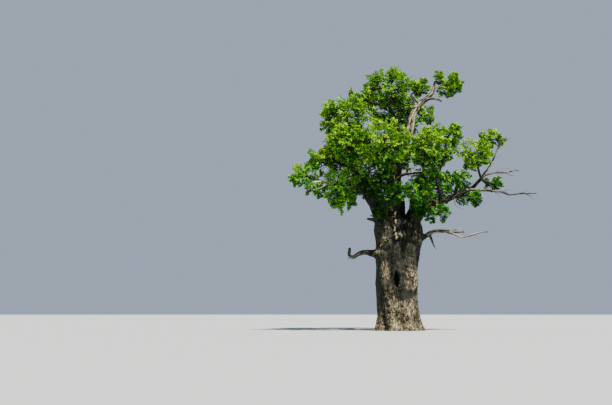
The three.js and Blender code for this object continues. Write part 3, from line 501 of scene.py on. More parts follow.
# Swellings of the front: across, up, half width, half height, depth, which is below 0 because they rise
burrs = [
    (-0.9, 3.72, 0.26, 0.24, -0.09), (-0.72, 4.32, 0.3, 0.26, -0.06), (1.02, 4.55, 0.2, 0.22, -0.08),
    (0.7, 2.5, 0.26, 0.62, -0.09), (0.35, 1.15, 0.62, 0.62, -0.12), (-0.62, 2.2, 0.28, 0.75, -0.05),
    (-0.66, 5.45, 0.34, 0.4, -0.07), (-0.85, 0.9, 0.24, 0.6, -0.07), (0.2, 4.78, 0.2, 0.2, -0.05),
    (-0.28, 1.9, 0.2, 0.3, -0.04), (0.62, 3.9, 0.3, 0.5, -0.05), (-0.05, 2.62, 0.24, 0.55, -0.035),
]
folds = [  # points of a groove on the front, then its half width and depth
    ([(0.33, 6.05), (0.32, 5.6), (0.36, 5.2)], 0.12, 0.1),
    ([(0.28, 4.5), (0.3, 4.1), (0.16, 3.4)], 0.1, 0.08),
    ([(-0.38, 5.3), (-0.26, 4.6), (-0.34, 3.9), (-0.3, 3.1), (-0.38, 2.4)], 0.09, 0.07),
    ([(0.42, 3.1), (0.32, 2.5), (0.28, 2), (0.05, 1.6), (-0.22, 1.3)], 0.1, 0.07),
    ([(-0.78, 2.1), (-0.72, 1.4), (-0.7, 0.5), (-0.72, 0)], 0.07, 0.1),
    ([(0.86, 2), (0.88, 1.2), (0.95, 0.4)], 0.05, 0.05),
    ([(0.7, 5.1), (0.72, 4.4), (0.62, 3.6)], 0.06, 0.05),
]


# The middle of the trunk and its half width at a height
def trunkMiddle(z):
    heights, middles, halves = (np.array(row) for row in zip(*trunk["outline"]))
    return np.interp(z, heights, middles), np.interp(z, heights, halves)


# The same between the named heights, without corners
def smoothOutline(z):
    shifts = np.linspace(-trunk["rounded"], trunk["rounded"], 7)
    values = [trunkMiddle(z + shift) for shift in shifts]
    return (sum(part) / len(shifts) for part in zip(*values))


def trunkHeights(count):
    return np.linspace(trunk["outline"][0][0], trunk["outline"][-1][0], count)


# Rings of the trunk, fluted all the way up and flared at the root
def trunkSkin():
    heights = trunkHeights(trunk["rings"])
    turn = fullTurn(trunk["sides"])[None, :]
    z = heights[:, None]
    middle, half = (part[:, None] for part in smoothOutline(heights))
    rib = np.cos(trunk["ribs"] * (turn + z * trunk["ribTwist"]))
    root = np.exp(-np.maximum(z, 0) / trunk["rootHeight"])
    swell = 1 + rib * (trunk["ribDepth"] + (trunk["rootDepth"] - trunk["ribDepth"]) * root)
    for count, depth, phase, twist in trunk["flutes"]:
        swell = swell + depth * np.cos(count * turn + phase + twist * z)
    radius = half * swell
    x = middle + radius * np.cos(turn)
    narrowed = steps(z, trunk["forkFrom"], trunk["forkTo"])
    deep = trunk["depthShare"] + (trunk["forkDepthShare"] - trunk["depthShare"]) * narrowed
    y = deep * radius * np.sin(turn)
    rings = place(np.stack([x, y, np.broadcast_to(z, x.shape)], 2).reshape(-1, 3))
    rings = rings.reshape(len(heights), trunk["sides"], 3)
    below, above = trunk["tips"]
    return skin(rings, rings[0].mean(0) - (0, 0, below), rings[-1].mean(0) + (0, 0, above))


# An oval solid
def ball(name, at, half):
    thing = meshObject(name, np.zeros((0, 3)), [])
    shape = bmesh.new()
    bmesh.ops.create_icosphere(shape, subdivisions=4, radius=1)
    bmesh.ops.scale(shape, vec=half, verts=shape.verts)
    bmesh.ops.translate(shape, vec=at, verts=shape.verts)
    shape.to_mesh(thing.data)
    shape.free()
    return thing


# Wood that fills the forks, and a small limb that rises from the right bough: points and radii
fillings = [
    ([(-0.15, -0.56, 4.5), (-0.18, -0.42, 5.4), (-0.22, -0.12, 6.5)], (0.5, 0.42, 0.33)),
    ([(-0.5, -0.5, 4.5), (-0.74, -0.36, 5.5), (-1.12, -0.1, 6.4)], (0.5, 0.42, 0.36)),
    ([(0.62, -0.46, 4.4), (0.79, -0.34, 5.4), (0.92, -0.06, 6.3)], (0.46, 0.37, 0.3)),
    ([(-0.45, 0, 5.4), (-0.56, 0.02, 6.1), (-0.6, 0.02, 6.5)], (0.45, 0.36, 0.22)),
    ([(-0.4, 0.5, 4.5), (-0.55, 0.62, 5.4), (-0.85, 1.15, 6.4)], (0.52, 0.44, 0.32)),
    ([(0.45, 0.5, 4.5), (0.7, 0.62, 5.4), (1, 1.15, 6.3)], (0.5, 0.42, 0.31)),
    ([(0.05, 0.45, 4.6), (0, 0.42, 5.6), (-0.1, 0.3, 6.6)], (0.5, 0.44, 0.36)),
    ([(2.12, -0.06, 6.4), (2.1, -0.22, 6.75), (1.96, -0.36, 7.3), (1.8, -0.42, 7.9), (1.72, -0.45, 8.4)],
     (0.075, 0.062, 0.052, 0.045, 0.035)),
]


def limbSides(radius):
    return limbShape["thickSides" if radius > limbShape["thick"] else "sides"]


# Paths of all the limbs, worked out once: points, distances along and radii
def limbPath(name):
    limb = limbs[name]
    line, along = smoothLine(place(limb["line"]), limbShape["spacing"])
    return line, along, limbRadii(limb, along)


paths = {name: limbPath(name) for name in limbs}
collar = {
    "length": 0.34, "share": 0.2,  # of the limb, at most
    "reach": 0.25, "behind": 0.1,
    "swell": (1.55, 0.9), "fade": 0.7,
}


# A dead limb keeps a collar of living bark round its foot, on the trunk
def collarPath(name):
    line, along, radii = paths[name]
    length = min(collar["length"], along[-1] * collar["share"])
    count = max(4, int(np.searchsorted(along, length + collar["reach"])))
    start = line[0] - (line[1] - line[0]) / np.linalg.norm(line[1] - line[0]) * collar["behind"]
    first, last = collar["swell"]
    swell = first + (last - first) * np.linspace(0, 1, count) ** collar["fade"]
    return np.vstack([start, line[:count]]), np.concatenate([[radii[0] * swell[0]], radii[:count] * swell])


# The trunk with its hollow, the boughs, what fills the forks and the collars, melted into one skin
def growBark():
    trunkThing = meshObject("trunkShape", *trunkSkin())
    half = [size + bark["hollowExtra"] for size in trunk["hollow"]["half"]]
    cutter = ball("hollowShape", place(trunk["hollow"]["at"])[0], half)
    cut = trunkThing.modifiers.new("hollow", "BOOLEAN")
    cut.operation = "DIFFERENCE"
    cut.object = cutter
    settle(trunkThing)
    bpy.data.objects.remove(cutter)
    shells = [(pointsOf(trunkThing.data), [tuple(face.vertices) for face in trunkThing.data.polygons])]
    bpy.data.objects.remove(trunkThing)
    for name in boughs:
        line, _, radii = paths[name]
        shells.append(tube(line, radii, limbSides(radii[0]), limbShape["footReach"], 0.5 * radii[-1]))
    for points, radii in fillings:
        line, along = smoothLine(place(points), limbShape["spacing"])
        sizes = np.interp(along / along[-1], np.linspace(0, 1, len(radii)), radii)
        shells.append(tube(line, sizes, limbSides(radii[0]), 0.5 * radii[0], 0.5 * radii[-1]))
    reach = limbShape["footReach"]
    for name, limb in deadLimbs.items():
        if limb["on"] == "trunk":
            line, radii = collarPath(name)
            shells.append(tube(line, radii, limbShape["sides"], reach, reach))
    thing = joinShells("bark", shells)
    remesh = thing.modifiers.new("skin", "REMESH")
    remesh.mode = "VOXEL"
    remesh.voxel_size = bark["voxel"]
    remesh.use_smooth_shade = True
    return settle(thing)


# For each point: how far it is from a limb's bark, and its place in the limb, across twice and along
def placeInLimb(points, line, along, radii, reach):
    ahead, side, up = framesAlong(line)
    far = np.full(len(points), bark["farOff"])
    where = np.zeros((len(points), 3))
    low, high = line.min(0) - reach - radii.max(), line.max(0) + reach + radii.max()
    near = np.flatnonzero(((points > low) & (points < high)).all(1))
    for part in np.array_split(near, max(1, len(near) // bark["batch"])):
        if not len(part):
            continue
        away = points[part, None] - line[None]
        nearest = (away**2).sum(2).argmin(1)
        offset = away[np.arange(len(part)), nearest]
        lengthwise = (offset * ahead[nearest]).sum(1)
        across = (offset * side[nearest]).sum(1)
        other = (offset * up[nearest]).sum(1)
        beyond = np.maximum(np.abs(lengthwise) - limbShape["spacing"], 0)
        far[part] = np.sqrt(across**2 + other**2 + beyond**2) - radii[nearest]
        where[part] = np.stack([across, other, along[nearest] + lengthwise], 1)
    return far, where


# Height of the bark over the wood, from furrows that part and join again along the limb
def furrows(where, radius, seed):
    scale = np.interp(radius, [0.08, 0.3, 1], [24, 18, 13.5])
    stretched = where * (scale, scale, scale * 0.27)
    bends = [softNoise(where * scale * size, seed + k) for k, size in ((1, 0.45), (2, 0.45), (3, 0.3))]
    bent = stretched + 0.55 * np.stack(bends, 1)
    broad = np.abs(softNoise(bent, seed))
    crossing = np.abs(softNoise(bent * (1, 1, 2.6) + 7.3, seed + 4))
    fine = np.abs(softNoise(bent * 2.1 + 3.1, seed + 5))
    ridge = steps(broad, 0, bark["furrowWidth"])
    plate = 0.55 + 0.45 * steps(crossing, 0, 0.3)
    return ridge * plate * (0.75 + 0.25 * steps(fine, 0, 0.35))


# The trunk as a limb's path: points, distances along and radii
def trunkPath():
    heights = trunkHeights(bark["trunkMarks"])
    middles, _ = trunkMiddle(heights)
    line = place(np.stack([middles, 0 * heights, heights], 1))
    _, radii = trunkMiddle(line[:, 2])
    return line, line[:, 2] - heights[0], radii


# For each point of the bark: relief, radius, place in its limb, how near the next limb is, how bare, and
# how pale, which holds painted sunlight and painted shade
def barkRelief(mesh):
    points = pointsOf(mesh)
    bodies = [("trunk", *trunkPath())] + [(name, *paths[name]) for name in boughs]
    fars, values, places, radii = [], [], [], []
    for index, (name, line, along, sizes) in enumerate(bodies):
        far, where = placeInLimb(points, line, along, sizes, bark["near"])
        where = where + index * bark["shift"]
        touched = far < bark["near"]
        value = np.zeros(len(points))
        radius = float(sizes.mean())
        value[touched] = furrows(where[touched], radius, 100 + 10 * index)
        fars.append(far)
        values.append(value)
        places.append(where)
        radii.append(np.full(len(points), min(radius, 1.0)))
        print("furrows on", name)
    fars = np.array(fars)
    weights = np.exp(-np.clip(fars - fars.min(0), 0, 2) / bark["blend"])
    weights /= weights.sum(0)
    relief = (np.array(values) * weights).sum(0)
    radius = (np.array(radii) * weights).sum(0)
    # painted sunlight: the trunk is paler low down, where the sun reaches under the crown
    sunlitHeights, sunlitShares = zip(*bark["sunlitByHeight"])
    tones = [np.interp(points[:, 2], sunlitHeights, sunlitShares)]
    # painted shade: each bough's pale value, below 0 for boughs in the crown's shade
    tones += [np.full(len(points), limb["pale"]) for limb in boughs.values()]
    tone = (np.array(tones) * weights).sum(0)
    order = np.argsort(fars, axis=0)
    own = order[0]
    where = np.array(places)[own, np.arange(len(points))]
    second = np.take_along_axis(fars, order[1:2], 0)[0]
    naked = np.zeros(len(points))
    ragged = points[:, 2] + 0.25 * softNoise(points * 4, 61)
    for index, limb in enumerate(boughs.values(), 1):
        if limb["stripped"]:
            naked += (own == index) * steps(ragged, *limb["stripped"])
    return relief, radius, where, second, naked, tone


# Rounds of smoothing, strongest where two limbs are equally near
def smoothJunctions(mesh, weight):
    edges = np.zeros(len(mesh.edges) * 2, np.int32)
    mesh.edges.foreach_get("vertices", edges)
    first, second = edges.reshape(-1, 2).T
    points = pointsOf(mesh)
    count = len(points)
    neighbours = np.bincount(first, minlength=count) + np.bincount(second, minlength=count)
    for _ in range(bark["rounding"]):
        mean = np.stack([
            np.bincount(first, points[second, k], count) + np.bincount(second, points[first, k], count)
            for k in range(3)], 1) / neighbours[:, None]
        points += (0.5 * weight)[:, None] * (mean - points)
    movePoints(mesh, points)


# Share of a soft oval, 1 in its middle and 0 at its edge, with an uneven rim
def oval(x, z, middleX, middleZ, halfX, halfZ, wobble):
    away = np.sqrt(((x - middleX) / halfX) ** 2 + ((z - middleZ) / halfZ) ** 2) + wobble
    return 1 - steps(away, 0.55, 1.1)


# Share of a soft groove: 1 on its line, and less to both sides
def groove(x, z, line, halfWidth):
    nearest = np.full(len(x), bark["farOff"])
    for (startX, startZ), (endX, endZ) in zip(line, line[1:]):
        stepX, stepZ = endX - startX, endZ - startZ
        t = np.clip(((x - startX) * stepX + (z - startZ) * stepZ) / (stepX**2 + stepZ**2), 0, 1)
        nearest = np.minimum(nearest, np.hypot(x - startX - t * stepX, z - startZ - t * stepZ))
    return np.exp(-((nearest / halfWidth) ** 2))


# The pale ridges rise a little, show more of their relief and are paler
def addStreaks(points, x, z, height, tone, relief):
    broken = steps(softNoise(points * (16, 16, 9), 23), -0.3, 0.1)
    facing = steps(-points[:, 1], 0, 0.3)
    bentX = x + 0.03 * softNoise(points * 6, 24)
    for line, halfWidth, rise, paler in streaks:
        share = groove(bentX, z, line, halfWidth) * facing * broken
        height = height + share * rise
        tone = tone + share * paler
        relief = relief + 0.6 * share
    return height, tone, relief


# Wounds are sunk, within a rim that has grown round them
def addScars(x, z, front, wobble, height, scarred):
    for acrossAt, upAt, halfX, halfZ, depth in scars:
        share = oval(x, z, acrossAt, upAt, halfX, halfZ, wobble) * front
        rim = oval(x, z, acrossAt, upAt, halfX * 1.5, halfZ * 1.3, wobble) * front
        height = height + (rim * (1 - share) * bark["rim"] - share * depth)
        scarred = np.maximum(scarred, share)
    return height, scarred


# Burrs rise, and folds sink and get painted shade
def addBurrsAndFolds(points, x, z, front, height):
    for acrossAt, upAt, halfX, halfZ, depth in burrs:
        height = height - oval(x, z, acrossAt, upAt, halfX * 1.3, halfZ * 1.3, 0) * front * depth
    foldShade = np.zeros(len(points))
    bentX = x + 0.05 * softNoise(points * 2.3, 31)
    for line, halfWidth, depth in folds:
        share = groove(bentX, z, line, halfWidth) * front
        height = height - share * depth
        foldShade = np.maximum(foldShade, share)
    return height, foldShade


# The inside of the hollow, which gets painted shade, and the lip round it
def hollowShadeAndLip(points, x, z):
    hollow = trunk["hollow"]
    (middleX, _, middleZ), (halfX, _, halfZ) = hollow["at"], hollow["half"]
    around = oval(x, z, middleX, middleZ, halfX * 2, halfZ * 1.5, 0) * steps(-points[:, 1], 0.2, 0.4)
    deep = around * steps(points[:, 1], *hollow["dark"])
    return deep, around * (1 - deep)


# The skin rises into ridges, swellings and scars, and keeps on its points what its finish needs
def carveBark(thing):
    mesh = thing.data
    relief, radius, where, second, naked, tone = barkRelief(mesh)
    smoothJunctions(mesh, np.exp(-np.clip(second, 0, 1) / bark["roundingReach"]))
    points = pointsOf(mesh)
    normals = normalsOf(mesh)
    height = np.zeros(len(points))
    for scale, rise, seed in bark["lumps"]:
        height += rise * np.minimum(radius + 0.05, 1) * softNoise(points * scale + 5.5, seed)
    x, z = seenAt(points)
    front = steps(-points[:, 1], *bark["front"]) * steps(bark["frontTop"] - z, 0, 0.5)
    wobble = bark["wobble"] * softNoise(points * 7, 21)
    # painted sunlight and shade, with pale wood, from the fields of the front
    for acrossAt, upAt, halfX, halfZ, paler in paleWoodSunAndShade:
        tone = tone + oval(x, z, acrossAt, upAt, halfX * 1.15, halfZ * 1.15, 1.8 * wobble) * front * paler
    height, tone, relief = addStreaks(points, x, z, height, tone, relief)
    height, scarred = addScars(x, z, front, wobble, height, naked)
    height, foldShade = addBurrsAndFolds(points, x, z, front, height)
    deep, lip = hollowShadeAndLip(points, x, z)
    depth = bark["furrowDepth"] * np.interp(radius, [0.06, 0.3, 1], [0.2, 0.55, 1])
    worn = oval(x, z, *bark["worn"], 0.5 * wobble) * front
    depth *= (1 - bark["scarSmooth"] * scarred) * (1 - bark["wornSmooth"] * worn)
    relief = relief * (1 - 0.35 * worn)
    sunk = bark["sunk"] * np.interp(radius, [0.06, 0.5], [0.3, 1])
    height += depth * relief - sunk + bark["lip"] * lip
    movePoints(mesh, points + normals * height[:, None])
    # painted shade: folds lower the relief that the finish reads, so they are darker
    writeValues(mesh, "relief", relief * (1 - 0.4 * (scarred - naked)) - 0.35 * foldShade)
    # tone holds painted sunlight and shade, besides pale wood and streaks
    writeValues(mesh, "tone", tone)
    writeValues(mesh, "scar", scarred)
    # painted shade of the hollow's inside, kept as dark
    writeValues(mesh, "dark", deep)
    writeValues(mesh, "grain", where)


# The part of a mesh between two heights, closed where it is cut
def sliceOf(thing, name, low, high):
    shape = bmesh.new()
    shape.from_mesh(thing.data)
    for height, down in ((low, True), (high, False)):
        if height is None:
            continue
        geometry = shape.verts[:] + shape.edges[:] + shape.faces[:]
        cut = bmesh.ops.bisect_plane(shape, geom=geometry, plane_co=(0, 0, height), plane_no=(0, 0, 1),
                                     clear_inner=down, clear_outer=not down)
        rim = [item for item in cut["geom_cut"] if isinstance(item, bmesh.types.BMEdge)]
        outward = (0, 0, -1 if down else 1)
        filled = bmesh.ops.triangle_fill(shape, use_beauty=True, edges=rim, normal=outward)
        for edge in rim:
            edge.smooth = False
        for face in filled["geom"]:
            if isinstance(face, bmesh.types.BMFace):
                face.smooth = False
    mesh = bpy.data.meshes.new(name)
    shape.to_mesh(mesh)
    shape.free()
    return addObject(name, mesh)


# Dead limbs: bare wood, cracked along the grain, with broken ends and side twigs
deadWood = {
    "spacing": 0.022,
    "sides": 18, "prongSides": 10,
    "ripple": 0.13,  # share of the radius
    "cracks": 3, "crackDepth": 0.28,
    "knots": 0.22,
    "behind": 0.08,  # how far its foot starts inside what carries it
    "prongStart": 0.6, "prongEnd": 0.4, "twigEnd": 0.3,  # radii, as shares of the limb's and of the first
    "thinnest": 0.008,
    "bend": 0.02, "prongBend": 0.03,
}


# Skin of a stretch of dead wood, with the place along the grain and the cracks for each of its points
def deadSkin(line, radii, along, sides, seed):
    ahead, side, up = framesAlong(line)
    turn = fullTurn(sides)[None, :]
    s = along[:, None] + 0 * turn
    probe = np.stack([np.cos(turn) + 0 * s, np.sin(turn) + 0 * s, s], 2).reshape(-1, 3)
    ripple = softNoise(probe * (1.6, 1.6, 1.4), seed).reshape(s.shape)
    lump = softNoise(probe * (0.8, 0.8, 5) + 4.2, seed + 1).reshape(s.shape)
    crackScale = (deadWood["cracks"], deadWood["cracks"], 0.9)
    crack = np.abs(softNoise(probe * crackScale + 9.1, seed + 2)).reshape(s.shape)
    swell = 1 + deadWood["ripple"] * ripple + deadWood["knots"] * np.maximum(lump - 0.25, 0)
    swell -= deadWood["crackDepth"] * (1 - steps(crack, 0, 0.16)) * min(1, radii[0] / 0.05)
    size = (radii[:, None] * swell)[:, :, None]
    outward = np.cos(turn)[..., None] * side[:, None] + np.sin(turn)[..., None] * up[:, None]
    firstTip, lastTip = line[0] - ahead[0] * 0.01, line[-1] + ahead[-1] * 0.7 * radii[-1]
    points, faces = skin(line[:, None] + size * outward, firstTip, lastTip)
    grain = np.stack([np.cos(turn) * radii[:, None], np.sin(turn) * radii[:, None], s], 2).reshape(-1, 3)
    grain = np.vstack([grain, [0, 0, 0], [0, 0, along[-1]]])
    cracked = np.concatenate([steps(crack, 0.02, 0.25).ravel(), [0.5, 0.5]])
    return points, faces, grain, cracked


# The line wanders a little, but not at its foot
def unevenLine(line, along, amount, seed):
    flat = 0 * along
    wander = [softNoise(np.stack([along * 2.6, flat + k, flat], 1), seed + k) for k in range(3)]
    return line + np.stack(wander, 1) * amount * np.minimum(along / 0.3, 1)[:, None]


# One dead limb with its prongs and side twigs
def deadPiece(name, index):
    limb = deadLimbs[name]
    line, along = smoothLine(place(limb["line"]), deadWood["spacing"])
    radii = limbRadii(limb, along)
    foot = line[0] - (line[1] - line[0]) / deadWood["spacing"] * deadWood["behind"]
    along = np.concatenate([[0], along + deadWood["behind"]])
    line = unevenLine(np.vstack([foot, line]), along, deadWood["bend"], 300 + index)
    radii = np.concatenate([radii[:1], radii])
    shells = [deadSkin(line, radii, along, deadWood["sides"], 400 + index)]
    forks = [(None, points) for points in limb["prongs"]] + list(limb["twigs"])
    for k, (foot, points) in enumerate(forks):
        forkLine, forkAlong = smoothLine(place(points), deadWood["spacing"])
        nearest = np.linalg.norm(line - forkLine[0], axis=1).argmin()
        first = foot or radii[nearest] * deadWood["prongStart"] + 0.01
        last = max(deadWood["thinnest"], first * deadWood["prongEnd"])
        if foot:
            last = first * deadWood["twigEnd"]
        sizes = last + (first - last) * (1 - forkAlong / forkAlong[-1])
        forkLine = unevenLine(forkLine, forkAlong, deadWood["prongBend"], 500 + 10 * index + k)
        shells.append(deadSkin(forkLine, sizes, forkAlong, deadWood["prongSides"], 600 + 10 * index + k))
    thing = joinShells(name + "_wood", [(points, faces) for points, faces, _, _ in shells])
    for face in thing.data.polygons:
        face.use_smooth = True
    writeValues(thing.data, "grain", np.vstack([grain for _, _, grain, _ in shells]))
    writeValues(thing.data, "relief", np.concatenate([cracked for _, _, _, cracked in shells]))
    writeValues(thing.data, "pale", np.full(len(thing.data.vertices), limb["pale"]))
    return thing


# Crown: each mass grows a stem from its bough, twigs in even directions, shoots and leaves
growth = {
    "seed": 40127,
    "leastSprays": 12,
    "spraysPerSquareMetre": 22,
    "largeMass": 24,  # sprays, past which a twig bears one more
    "twigReach": 0.62,
    "steepest": 0.95,
    "stemStart": 0.92, "stemEnd": 0.044,  # radii, the first as a share of the limb's
    "twigRadii": (0.04, 0.015),
    "sprayRadii": (0.011, 0.004),
    "shootRadii": (0.006, 0.0025),
    "lumpShare": 0.4, "lumpSprays": 9, "lumpSpacing": 0.04,
    "firstSpray": 0.02, "spraySpacing": 0.15,
    "endAngle": 0.3, "fanAngle": 1.15,
    "sprayPoints": 7, "shortestSpray": 0.22, "longestSpray": 1.0, "overReach": (0.7, 1.01),
    "bows": {"stem": 0.03, "twig": 0.045, "shoot": 0.05},  # shares of the length
    "lift": 0.28,  # how far shoots turn up to the light
    "shoots": 12, "shootAngle": 0.85, "shootShare": 0.42,
    "leafSpacing": 0.058, "rosette": 8,
    "leafLength": (0.07, 0.115),
    "shootTone": 1.1,  # how far the green of a shoot strays from its spray's
    "innerShade": 1.3,  # painted shade: how much darker the shoots near a spray's foot, deep in the crown, are
    "shadeBelow": 7.8, "shadeWander": 1.3,  # height under which shoots have the shade greens, painted shade, give or take
    # painted light and shade: greens lighter higher in the crown and on the top of each mass (up), darker low
    # down
    "paintedLightByHeight": [(5.5, -1.3), (7.5, -0.55), (9, 0.35), (12.5, 0.5)],
    "tones": {"middle": 3.65, "up": 1.25, "height": 1.1, "stray": 0.6},
    "shootShadeEndLight": (-1.7, 0.7),  # painted shade on the leaves along a shoot, and painted light on those at its end
    "clumpTone": 0.9, "clumps": 2.4,  # how far greens stray over clumps, and clumps to the metre
    "jitter": 0.012,
    "clearance": 0.02,  # of twigs and leaves from the bark of a limb
    "nearLimb": 0.1,  # within which that is measured
    "margin": 0.1,  # how far beyond the source's box a leaf may stand
    "scatter": {"level": 0.2, "turn": 0.6, "reach": 0.16, "fan": 0.5, "sprayTurn": 0.8},
}
golden = math.pi * (3 - math.sqrt(5))

# Sky seen through the crown, in the outline: across, up, half width, half height
skyGaps = [
    (-0.8, 10.93, 0.34, 0.13), (0.04, 10, 0.12, 0.14), (1.1, 10.15, 0.12, 0.18), (3.02, 8.35, 0.34, 0.4),
    (0.67, 8.25, 0.15, 0.2), (0.32, 7.57, 0.24, 0.2), (-3.6, 8, 0.18, 0.2), (0.6, 9.4, 0.1, 0.1),
    (2.3, 9.2, 0.2, 0.14), (2.5, 9.68, 0.28, 0.1), (0.42, 6.28, 0.2, 0.4), (-1.9, 6.4, 0.2, 0.4),
    (1.85, 11.6, 0.2, 0.2), (-3.9, 9.3, 0.4, 0.12), (2.1, 10.9, 0.3, 0.3), (-1.27, 7.95, 0.13, 0.16),
    (-2.6, 6.15, 0.07, 0.42),
]
# Limbs that show between the leaves: across, up, half width, half height, and how deep the view is open
openings = [
    (0.72, 10.5, 0.26, 0.8, 0.1), (1.4, 11.5, 0.3, 0.42, 0.1), (0.8, 11.55, 0.2, 0.4, 0.1),
    (1.8, 12.1, 0.16, 0.4, 0.1), (-1.5, 6.3, 0.36, 0.42, 0.1), (2.45, 6.5, 0.55, 0.13, 0.1),
    (0.75, 7.88, 0.5, 0.12, -0.2), (-3.9, 7.3, 0.45, 0.2, -0.8), (-0.12, 7.7, 0.1, 0.4, 0.2),
    (-0.26, 6.72, 0.14, 0.1, 0.2), (-0.34, 5.9, 0.22, 0.34, 0.2), (4.2, 7.6, 0.16, 0.16, 0.1),
    (0.35, 9.2, 0.14, 0.2, 0.1), (5.06, 9.6, 0.1, 0.2, 0.14), (5.48, 9.5, 0.16, 0.12, 0.1),
    (3.3, 6.42, 0.2, 0.05, -0.3), (1.95, 7.3, 0.12, 0.7, -0.2),
]


def unit(vector):
    return vector / max(1e-9, math.sqrt(vector @ vector))


def units(vectors):
    return vectors / np.maximum(np.linalg.norm(vectors, axis=1), 1e-9)[:, None]


# Distance from a point inside a mass's oval to its surface, along a direction
def distanceOut(middle, half, start, along):
    offset = (start - middle) / half
    step = along / half
    a, b, c = step @ step, offset @ step, min(0, offset @ offset - 1)
    return (math.sqrt(b * b - a * c) - b) / a


# A crooked line between two points
def crooked(start, end, count, bow, rng):
    t = np.linspace(0, 1, count)[:, None]
    length = math.sqrt((end - start) @ (end - start))
    sway = rng.normal(0, bow * length, 3) * np.sin(math.pi * t)
    sway += rng.normal(0, bow * length * 0.4, 3) * np.sin(2 * math.pi * t)
    return start + (end - start) * t + sway


# What has grown: lines of twigs with their radii, and batches of leaves
class Growth:
    def __init__(self):
        self.lines = []
        self.batches = []

    def twig(self, line, first, last):
        self.lines.append((line, np.linspace(first, last, len(line))))

    def leaves(self, places, aheads, faces, sizes, tone, shaded):
        count = len(places)
        self.batches.append((places, aheads, faces, sizes, np.full(count, tone), np.full(count, shaded)))


# One spray: a shoot that turns up to the light, side shoots by turns left and right, leaves on all
def growSpray(crown, root, along, face, reach, tone, rng):
    t = np.linspace(0, 1, growth["sprayPoints"])
    bend = unit(along + np.array([0, 0, growth["lift"]]))
    heading = units(along[None] * (1 - t[:, None]) + bend[None] * t[:, None])
    ways = np.concatenate([[[0, 0, 0]], np.cumsum((heading[1:] + heading[:-1]) / 2, 0)])
    line = root + ways * reach / (len(t) - 1)
    line += rng.normal(0, growth["jitter"], line.shape) * t[:, None]
    crown.twig(line, *growth["sprayRadii"])
    side = unit(np.cross(along, face))
    normal = unit(np.cross(side, along))
    count = max(4, round(growth["shoots"] * math.sqrt(reach / 0.8)))
    for k in range(count):
        share = 0.14 + 0.8 * (k + rng.uniform(-0.2, 0.2)) / (count - 1)
        at = alongLine(line, t, share)
        hand = 1 if k % 2 else -1
        angle = growth["shootAngle"] + rng.normal(0, 0.15)
        ahead = along * math.cos(angle) + side * hand * math.sin(angle)
        ahead = unit(ahead + normal * rng.uniform(-0.35, 0.55))
        wide = 0.55 + 0.45 * math.sin(math.pi * min(1, share / 0.95) ** 0.8)
        length = reach * growth["shootShare"] * wide * rng.uniform(0.75, 1.15)
        tip = at + ahead * length + np.array([0, 0, 0.12 * length])
        shoot = crooked(at, tip, 3, growth["bows"]["shoot"], rng)
        crown.twig(shoot, *growth["shootRadii"])
        # painted shade: shoots near the spray's foot, inside the crown, are darker
        ownTone = tone + rng.normal(0.2, growth["shootTone"]) - growth["innerShade"] * (1 - share) ** 1.5
        growLeaves(crown, shoot, length, normal, ownTone, growth["rosette"], rng)
    growLeaves(crown, line, reach * 0.5, normal, tone, growth["rosette"] + 2, rng)


# Leaves by turns along a shoot, darker as painted shade, and a spray of them at its end, lighter as painted
# light
def growLeaves(crown, line, length, normal, tone, rosette, rng):
    along = max(2, round(length / growth["leafSpacing"]))
    share = np.concatenate([np.linspace(0.25, 0.92, along), np.full(rosette, 1.0)])
    count = len(share)
    places = alongLine(line, np.linspace(0, 1, len(line)), share)
    places += rng.normal(0, growth["jitter"], (count, 3))
    ahead = unit(line[-1] - line[0])
    face = unit(normal * 0.6 + np.array([0, 0, 0.5]) + rng.normal(0, 0.5, 3))
    side = unit(np.cross(face, ahead))
    other = np.cross(side, face)
    turn = golden * np.arange(count) * (1 + rng.normal(0, 0.02)) + rng.uniform(0, 6)
    fanned = np.cos(turn)[:, None] * other + np.sin(turn)[:, None] * side
    aheads = units(ahead * 0.45 + fanned * 0.9 + rng.normal(0, 0.15, (count, 3)))
    faces = units(face + fanned * 0.35 + rng.normal(0, 0.62, (count, 3)))
    sizes = rng.uniform(*growth["leafLength"], count)
    low, high = growth["shootShadeEndLight"]
    wander = growth["shadeWander"] * softNoise(line[-1:] * 1.6, 56)[0]
    shaded = line[-1, 2] + wander < growth["shadeBelow"]
    crown.leaves(places[:along], aheads[:along], faces[:along], sizes[:along], tone + low, shaded)
    crown.leaves(places[along:], aheads[along:], faces[along:], sizes[along:], tone + high, shaded)


# Ends of a mass's twigs, each with its count and spacing of sprays and the oval they stay in
def twigsOf(mass, middle, half, rng):
    scatter = growth["scatter"]
    x, y, z = half
    wanted = growth["leastSprays"] + growth["spraysPerSquareMetre"] * (x * y + y * z + z * x) / 3
    sprays = 5 if wanted > growth["largeMass"] else 4
    count = max(3, round(wanted / sprays))
    twigs = []
    for i in range(count):
        level = 1 - 2 * (i + 0.5) / count + scatter["level"] * rng.uniform(-0.5, 0.5)
        rise = min(growth["steepest"], max(-growth["steepest"], level))
        turn = golden * i + scatter["turn"] * rng.uniform(-0.5, 0.5)
        flat = math.sqrt(1 - rise * rise)
        reach = growth["twigReach"] + scatter["reach"] * rng.uniform(-0.5, 0.5)
        outward = np.array([flat * math.cos(turn), flat * math.sin(turn), rise])
        twigs.append((middle + outward * half * reach, sprays, growth["spraySpacing"], middle, half))
    radius = half.mean() * growth["lumpShare"]
    for tip in place(mass["tips"]) if mass["tips"] else []:
        inner = tip - unit(tip - middle) * radius
        twigs.append((inner, growth["lumpSprays"], growth["lumpSpacing"], inner, np.full(3, radius)))
    return twigs


